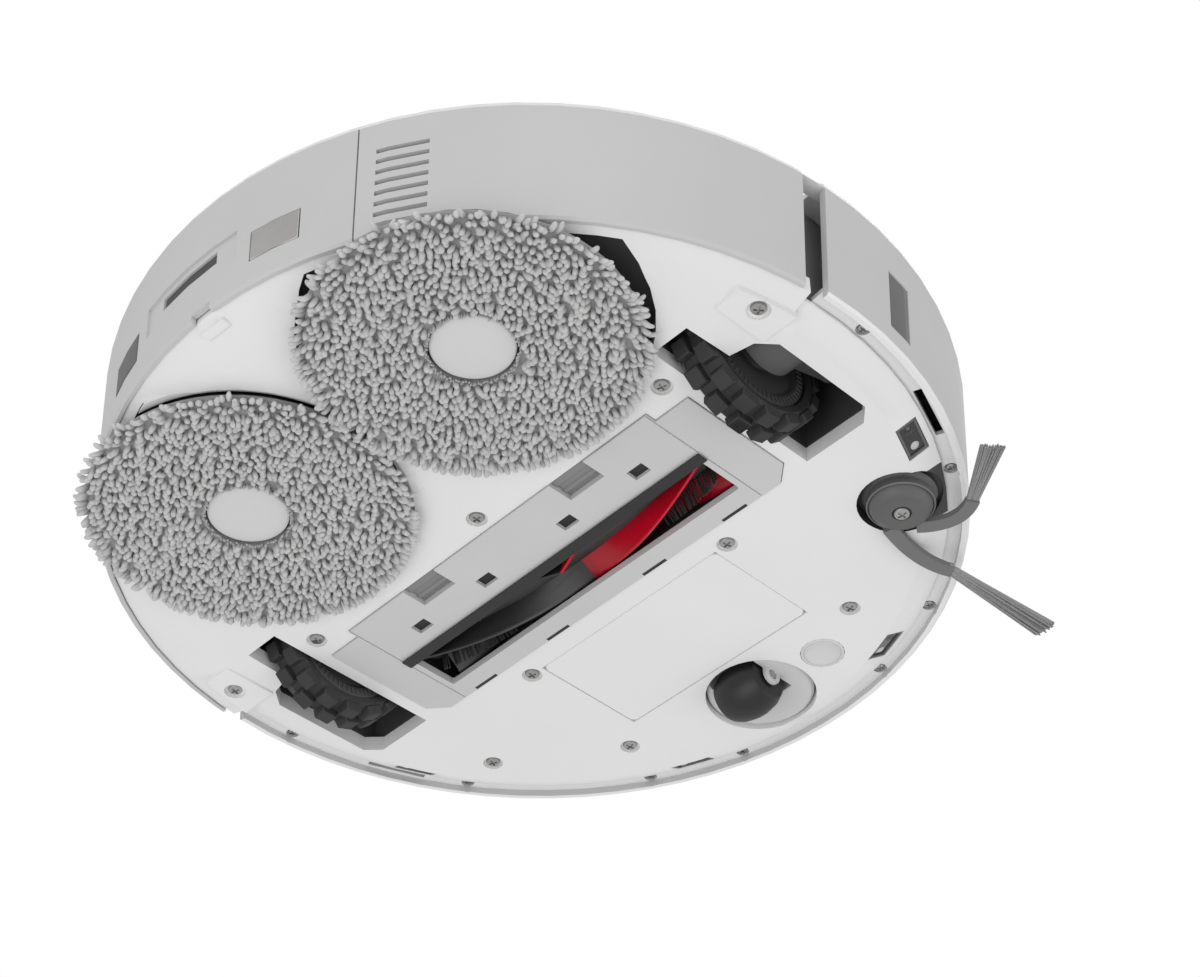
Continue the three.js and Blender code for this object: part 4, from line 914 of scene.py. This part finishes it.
def chenille_pad(side, seed):
    """A felt washer covered with yarn fingers that lean outwards at its rim."""
    node = "mop_pad_" + side
    low, high = (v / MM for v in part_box(node))
    middle = (low + high) / 2
    radius = (high.x - low.x) / 2
    rng = random.Random(seed)
    points, faces, rises, tones = [], [], [], []
    root = Vector((middle.x, middle.y, high.z - 1.4))
    for place in pile_places(18.6, radius - 1.6, rng):
        share = place.length / radius
        outward = place.normalized()
        rim = max(0.0, share - RIM_SHARE) / (1 - RIM_SHARE)
        lean = Vector((rng.gauss(0.08, 0.22), rng.gauss(-0.08, 0.22), 0)) + outward * (0.04 + 0.75 * rim)
        length = rng.uniform(4.7, 5.4) + 0.9 * rim
        p, f, r = finger(root + place, lean, length, rng.uniform(0.98, 1.2), rng.uniform(0.6, 1.1))
        faces += [tuple(i + len(points) for i in face) for face in f]
        points += p
        rises += r
        tones += [rng.random()] * len(p)
    for k in range(HOLE_FRINGE):
        a = FULL_TURN * k / HOLE_FRINGE + rng.uniform(-0.02, 0.02)
        outward = Vector((math.cos(a), math.sin(a), 0))
        base = root + outward * 17.6 + Vector((0, 0, -0.6))
        p, f, r = finger(base, outward * -rng.uniform(0.05, 0.5), rng.uniform(2.6, 3.6), 0.45, 0.8)
        faces += [tuple(i + len(points) for i in face) for face in f]
        points += p
        # the fringe's rises are cut, so it takes more painted shade round the cap's hole
        rises += [v * 0.55 for v in r]
        tones += [rng.uniform(0.2, 0.7)] * len(p)
    mesh = bpy.data.meshes.new("yarn")
    mesh.from_pydata([tuple(p * MM) for p in points], [], faces)
    mesh.attributes.new("finger_tone", "FLOAT", "POINT").data.foreach_set("value", tones)
    # finger_rise drives the painted shade at the roots
    mesh.attributes.new("finger_rise", "FLOAT", "POINT").data.foreach_set("value", rises)
    mesh.update()
    yarn = bpy.data.objects.new("yarn", mesh)
    bpy.context.scene.collection.objects.link(yarn)
    edit(yarn)
    bpy.ops.mesh.normals_make_consistent(inside=False)
    leave()
    base = turned(
        [(17.2, high.z), (17.2, high.z - 2.8), (radius - 2.4, high.z - 2.8), (radius - 0.5, high.z - 1.2),
         (radius - 0.6, high.z), (17.2, high.z)], (middle.x, middle.y, 0), 64,
    )
    pad = joined(yarn, base)
    finish(
        pad, "chenille_pad_" + side, BODY_OF[node], CHENILLE, "mop_pile", node, angle=80, weighted=False
    )
    return pad


for side, seed in (("right", 11), ("left", 12)):
    chenille_pad(side, seed)
    low, high = (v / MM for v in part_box("mop_cap_" + side))
    middle, r = (low + high) / 2, (high.x - low.x) / 2
    cap = turned(
        [(0, low.z), (r * 0.6, low.z + 0.05), (r - 1.0, low.z + 0.25), (r - 0.3, low.z + 0.6),
         (r, low.z + 1.3), (r, high.z), (0, high.z)],
        (middle.x, middle.y, 0), 64,
    )
    node = "mop_cap_" + side
    finish(cap, "mop_cap_finished_" + side, BODY_OF[node], CAP_GREY, "grey_plastic", node)


# ------------------------------------------------------------------ drive wheels
TREAD_BLOCKS = 17
TREAD_DEPTH = 3.4
HUB_TICKS = 60


def tread_block(width, length, height):
    """One chamfered tread block, its foot at the origin, standing along +Z."""
    piece = block(-width / 2, width / 2, -length / 2, length / 2, -0.6, height)
    edit(piece, "DESELECT")
    leave()
    for face in piece.data.polygons:
        face.select = face.normal.z > 0.9
    bpy.ops.object.mode_set(mode="EDIT")
    bpy.ops.transform.resize(value=(0.86, 0.84, 1), center_override=(0, 0, 0))
    leave()
    return soften(piece, 0.45, 1, 30)


def drive_wheel(name):
    """A tyre with two staggered rows of tread blocks, and a hub with a ring of ticks per face."""
    low, high = (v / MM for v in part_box("wheel_tyre_" + name))
    middle = (low + high) / 2
    radius, width = (high.z - low.z) / 2, high.x - low.x
    half = width / 2
    foot = radius - TREAD_DEPTH
    carcass = turned(
        [(26.4, -half + 1), (foot - 1.4, -half + 0.4), (foot, -half + 1.6), (foot + 0.5, 0),
         (foot, half - 1.6), (foot - 1.4, half - 0.4), (26.4, half - 1), (26.4, -half + 1)],
        middle, 72, "X",
    )
    blocks = []
    pitch = FULL_TURN / TREAD_BLOCKS
    first = tread_block(half - 0.6, 8.4, TREAD_DEPTH)
    for x, shift in ((-half / 2 - 0.2, 0.0), (half / 2 + 0.2, 0.5)):
        foothold = Matrix.Translation(Vector((x, 0, foot)) * MM)
        for k in range(TREAD_BLOCKS):
            turn = Matrix.Rotation((k + shift) * pitch, 4, "X")
            blocks.append(moved(first, Matrix.Translation(middle * MM) @ turn @ foothold))
    removed(first)
    tyre = joined(carcass, *blocks)
    node = "wheel_tyre_" + name
    finish(tyre, "tyre_with_tread_" + name, BODY_OF[node], RUBBER, "black_rubber", node)
    hub_low, hub_high = (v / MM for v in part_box("wheel_hub_" + name))
    hub_middle = (hub_low + hub_high) / 2
    r, h = (hub_high.z - hub_low.z) / 2, (hub_high.x - hub_low.x) / 2
    hub = turned(
        [(0, -h + 1.6), (5, -h + 1.6), (6, -h + 0.6), (8, -h + 0.6), (9.5, -h + 2), (r - 6, -h + 2),
         (r - 4.6, -h + 0.9), (r - 0.8, -h + 0.6), (r, -h + 1.2), (r, h - 1.2), (r - 0.8, h - 0.6),
         (r - 4.6, h - 0.9), (r - 6, h - 2), (9.5, h - 2), (8, h - 0.6), (6, h - 0.6), (5, h - 3),
         (0, h - 3)],
        hub_middle, 72, "X",
    )
    ticks = []
    tick = soften(block(-0.35, 0.35, -0.45, 0.45, -1.4, 1.4), 0.2, 1, 30)
    for face in (-1, 1):
        for k in range(HUB_TICKS):
            turn = Matrix.Rotation(FULL_TURN * k / HUB_TICKS, 4, "X")
            foothold = Matrix.Translation(Vector((face * (h - 0.6), 0, r - 2.6)) * MM)
            ticks.append(moved(tick, Matrix.Translation(hub_middle * MM) @ turn @ foothold))
    removed(tick)
    hub = joined(hub, *ticks)
    node = "wheel_hub_" + name
    finish(hub, "hub_with_ticks_" + name, BODY_OF[node], CHARCOAL, "charcoal_plastic", node)


for name in ("right", "left"):
    drive_wheel(name)


# ------------------------------------------------------------------ roller brush
BLADES = 5
BLADE_TURN = 85.0  # degrees from the middle of the roller to its end
BLADE_PHASE = 10.0  # where the first blade starts, degrees rearwards from straight down
BLADE_STEPS = 28
BLADE_ROOT = 8.8  # radius at which blades and bristles leave the core
BRISTLES_FROM = 0.55  # the bristle rows start this far along each half
TUFT_SPACING = 2.2


def blade(side, length, root, tip):
    """One rubber blade with a bead along its tip, drawn along the roller while it turns."""
    piece = block(-0.05, 0.05, -0.9, 0.9, -tip, -root)
    edit(piece, "DESELECT")
    leave()
    for face in piece.data.polygons:
        face.select = face.normal.z < -0.9
    bpy.ops.object.mode_set(mode="EDIT")
    bpy.ops.transform.translate(value=(0, 0, 1.6 * MM))
    bpy.ops.transform.resize(value=(1, 0.55, 1), center_override=(0, 0, -(tip - 1.6) * MM))
    down = {"value": (0, 0, -0.7 * MM)}
    bpy.ops.mesh.extrude_region_move(TRANSFORM_OT_translate=down)
    bpy.ops.transform.resize(value=(1, 1.7, 1), center_override=(0, 0, -(tip - 0.9) * MM))
    bpy.ops.mesh.extrude_region_move(TRANSFORM_OT_translate={"value": (0, 0, -0.9 * MM)})
    bpy.ops.transform.resize(value=(1, 0.5, 1), center_override=(0, 0, -tip * MM))
    leave()
    for face in piece.data.polygons:
        face.select = face.normal.x * side > 0.9
    bpy.ops.object.mode_set(mode="EDIT")
    step = {"value": (side * length / BLADE_STEPS * MM, 0, 0)}
    for _ in range(BLADE_STEPS):
        bpy.ops.mesh.extrude_region_move(TRANSFORM_OT_translate=step)
        turn = -math.radians(BLADE_TURN / BLADE_STEPS)
        bpy.ops.transform.rotate(value=turn, orient_axis="X", center_override=(0, 0, 0))
    bpy.ops.mesh.select_all(action="SELECT")
    bpy.ops.mesh.normals_make_consistent(inside=False)
    leave()
    return piece


def around_core(first, phase):
    """Five copies of a blade or a bristle row round the roller's core."""
    core = Matrix.Translation(centre_of("roller_core"))
    turns = [phase + 360 / BLADES * i for i in range(BLADES)]
    copies = [moved(first, core @ Matrix.Rotation(math.radians(t), 4, "X")) for t in turns]
    removed(first)
    return joined(*copies)


def bristle_row(side, length, root, tip):
    """A row of thin tufts that follows the same twist as the blades."""
    rng = random.Random(5)
    hair = rod(0.42, (0, 0, -root), (0, 0, -tip), 4)
    tufts = []
    count = round(length / TUFT_SPACING)
    for k in range(count):
        along = BRISTLES_FROM + (1 - BRISTLES_FROM) * (k + 0.5) / count
        splay = Matrix.Rotation(rng.gauss(0, 0.05), 4, "Y")
        twist = Matrix.Rotation(math.radians(BLADE_TURN * along) + rng.gauss(0, 0.02), 4, "X")
        shift = Matrix.Translation(Vector((side * length * along * MM, 0, 0)))
        tufts.append(moved(hair, shift @ twist @ splay))
    removed(hair)
    return joined(*tufts)


def roller_half(name, side, material, node, slot):
    """The blades of one half of the roller, with bristle rows between them."""
    low, high = (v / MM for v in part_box(node))
    length, tip = high.x - low.x - 0.6, (high.z - low.z) / 2 - 0.3
    blades = around_core(blade(side, length, BLADE_ROOT, tip), BLADE_PHASE)
    finish(blades, name, BODY_OF[node], material, slot, node, angle=50)
    row = bristle_row(side, length, BLADE_ROOT, tip - 0.8)
    rows = around_core(row, BLADE_PHASE + 180 / BLADES)
    finish(rows, name + "_bristles", BODY_OF[node], BRISTLE_BLACK, "grey_bristle", angle=50)


roller_half("red_rubber_blades", -1, FIN_RED, "roller_fins_red", "red_rubber")
roller_half("black_rubber_blades", 1, FIN_BLACK, "roller_fins_black", "black_rubber")


# ------------------------------------------------------------------ side brush
# Each arm, in mm from the hub's axis and above the floor: where its strap starts, the point it
# bends towards, where it ends, and the tip of its bristles.
SIDE_BRUSH_ARMS = [
    ((2.9, -12.5, 12.0), (-10.0, -24.0, 11.0), (-22.8, -15.2, 10.0), (-49.0, 4.8, 7.0)),
    ((10.9, -6.1, 12.0), (16.0, -27.0, 10.5), (8.1, -39.1, 8.0), (2.8, -91.0, 4.0)),
]
STRAP_STEPS = 10
BRISTLES = 110
FAN_FOOT = 2.3  # half the fan's width where the bristles leave the strap
FAN_HALF_WIDTH = 4.6  # at the bristles' tips


def bristle_fan(root, tip, rng):
    """Bristles that leave a strap's flat end side by side and flare towards their tips."""
    ahead = tip - root
    hair = rod(0.3, (-3.0, 0, 0), (ahead.length, 0, 0), 5)
    place = Matrix.Translation(root * MM) @ ahead.to_track_quat("X", "Z").to_matrix().to_4x4()
    hairs = []
    for _ in range(BRISTLES):
        across = rng.uniform(-1, 1)
        start = Vector((0, FAN_FOOT * across, rng.uniform(-0.5, 0.5))) * MM
        flare = (FAN_HALF_WIDTH - FAN_FOOT) * across / ahead.length + rng.gauss(0, 0.006)
        turn = Matrix.Rotation(flare, 4, "Z") @ Matrix.Rotation(rng.gauss(0, 0.012), 4, "Y")
        size = Matrix.Diagonal((rng.uniform(0.95, 1.0), 1, 1, 1))
        hairs.append(moved(hair, place @ Matrix.Translation(start) @ turn @ size))
    removed(hair)
    return joined(*hairs)


def side_brush():
    """Two curved rubber straps on a collar, each ending in a flaring fan of bristles."""
    hub = centre_of("side_brush_hub") / MM
    foot = Vector((hub.x, hub.y, 0))
    rng = random.Random(3)
    rim = [(12.8, 11.9), (13.2, 11.7), (13.5, 12.3), (13.2, 13.2), (12.8, 13.2), (12.8, 11.9)]
    straps, fans = [turned(rim, foot, 40)], []
    for start, bend, end, tip in SIDE_BRUSH_ARMS:
        start, bend, end, tip = (foot + Vector(point) for point in (start, bend, end, tip))
        shares = [k / STRAP_STEPS for k in range(STRAP_STEPS + 1)]
        route = [start * (1 - t) ** 2 + bend * 2 * t * (1 - t) + end * t * t for t in shares]
        straps.append(soften(swept(route, 6.4, 2.6, 0.985), 0.7))
        fans.append(bristle_fan(end, tip, rng))
    return joined(*straps), joined(*fans)


straps, fans = side_brush()
finish(straps, "side_brush_straps", "side_brush", STRAP_GREY, "grey_bristle", "side_brush_arms")
finish(fans, "side_brush_bristles", "side_brush", BRISTLE_GREY, "grey_bristle")
screw_spot = centre_of("side_brush_screw") / MM
screw = screw_head(3.3)
screw.data.transform(Matrix.Translation(screw_spot * MM))
finish(screw, "side_brush_screw_head", "side_brush", STEEL, "steel", "side_brush_screw", angle=40)

# ------------------------------------------------------------------ camera, light and floor
CAMERA_SPOT = Vector((-527.786, 470.385, -610.041)) * MM
CAMERA_RIGHT = Vector((-0.690675, -0.723160, -0.002761))
CAMERA_DOWN = Vector((0.494877, -0.469856, -0.730980))
CAMERA_AHEAD = Vector((0.527318, -0.506236, 0.682393))
FOCAL_SHARE = 1.992462  # focal length as a share of the frame's width
SENSOR = 36.0
BODY_MIDDLE = Vector((0, 0, 0.04))


def place_camera():
    """The camera, from its spot and its axes."""
    data = bpy.data.cameras.new("camera")
    data.sensor_width = SENSOR
    data.lens = FOCAL_SHARE * SENSOR
    data.clip_start, data.clip_end = 0.01, 50
    camera = bpy.data.objects.new("camera", data)
    bpy.context.scene.collection.objects.link(camera)
    axes = Matrix((CAMERA_RIGHT, -CAMERA_DOWN, -CAMERA_AHEAD)).transposed()
    camera.matrix_world = Matrix.Translation(CAMERA_SPOT) @ axes.to_4x4()
    bpy.context.scene.camera = camera


def softbox(name, place, size, watts):
    """A round area light at a place in metres, facing the body's middle."""
    data = bpy.data.lights.new(name, "AREA")
    data.shape = "DISK"
    data.size = size
    data.energy = watts
    lamp = bpy.data.objects.new(name, data)
    bpy.context.scene.collection.objects.link(lamp)
    lamp.location = place
    lamp.rotation_mode = "QUATERNION"
    lamp.rotation_quaternion = (BODY_MIDDLE - Vector(place)).to_track_quat("-Z", "Y")
    lamp.visible_camera = False


def white_room(ambient):
    """A white world that lights less strongly than it looks."""
    world = bpy.data.worlds.new("white room")
    bpy.context.scene.world = world
    world.use_nodes = True
    tree = world.node_tree
    backdrop = tree.nodes["Background"]
    backdrop.inputs["Color"].default_value = (1, 1, 1, 1)
    path = tree.nodes.new("ShaderNodeLightPath")
    strength = spread(tree, path.outputs["Is Camera Ray"], 0.0, 1.0, ambient, 1.0)
    tree.links.new(strength, backdrop.inputs["Strength"])


def pale_floor():
    """A pale floor at z = 0 that is only seen from above, so that light reaches the underside."""
    clear()
    bpy.ops.mesh.primitive_plane_add(size=8)
    floor = bpy.context.object
    floor.name = "floor"
    material, tree, shader, place = new_material("pale floor", Roughness=0.85)
    cloud = spread(tree, noise(tree, place, 1.5, 3.0), 0.3, 0.7)
    tree.links.new(mixed(tree, cloud, grey(0.78), grey(0.82)), shader.inputs["Base Color"])
    side = tree.nodes.new("ShaderNodeNewGeometry").outputs["Backfacing"]
    clear_shader = tree.nodes.new("ShaderNodeBsdfTransparent")
    blend = tree.nodes.new("ShaderNodeMixShader")
    tree.links.new(side, blend.inputs[0])
    tree.links.new(shader.outputs[0], blend.inputs[1])
    tree.links.new(clear_shader.outputs[0], blend.inputs[2])
    tree.links.new(blend.outputs[0], tree.nodes["Material Output"].inputs["Surface"])
    floor.data.materials.append(material)
    floor.visible_diffuse = False
    floor.visible_glossy = False
    floor.visible_transmission = False
    floor.visible_shadow = False


place_camera()
white_room(0.68)
softbox("light below left", (-0.2, 1.3, -1.3), 1.4, 9)
softbox("light below front", (-1.2, -0.9, -0.9), 1.2, 4)
softbox("light above", (0.7, -0.8, 1.9), 1.8, 11)
softbox("light side", (-1.6, 1.2, 0.7), 1.4, 7)
pale_floor()
bpy.context.scene.view_settings.view_transform = "Standard"

for node, material in KEPT.items():
    piece = NODES[node]
    piece.data.materials.clear()
    piece.data.materials.append(material)
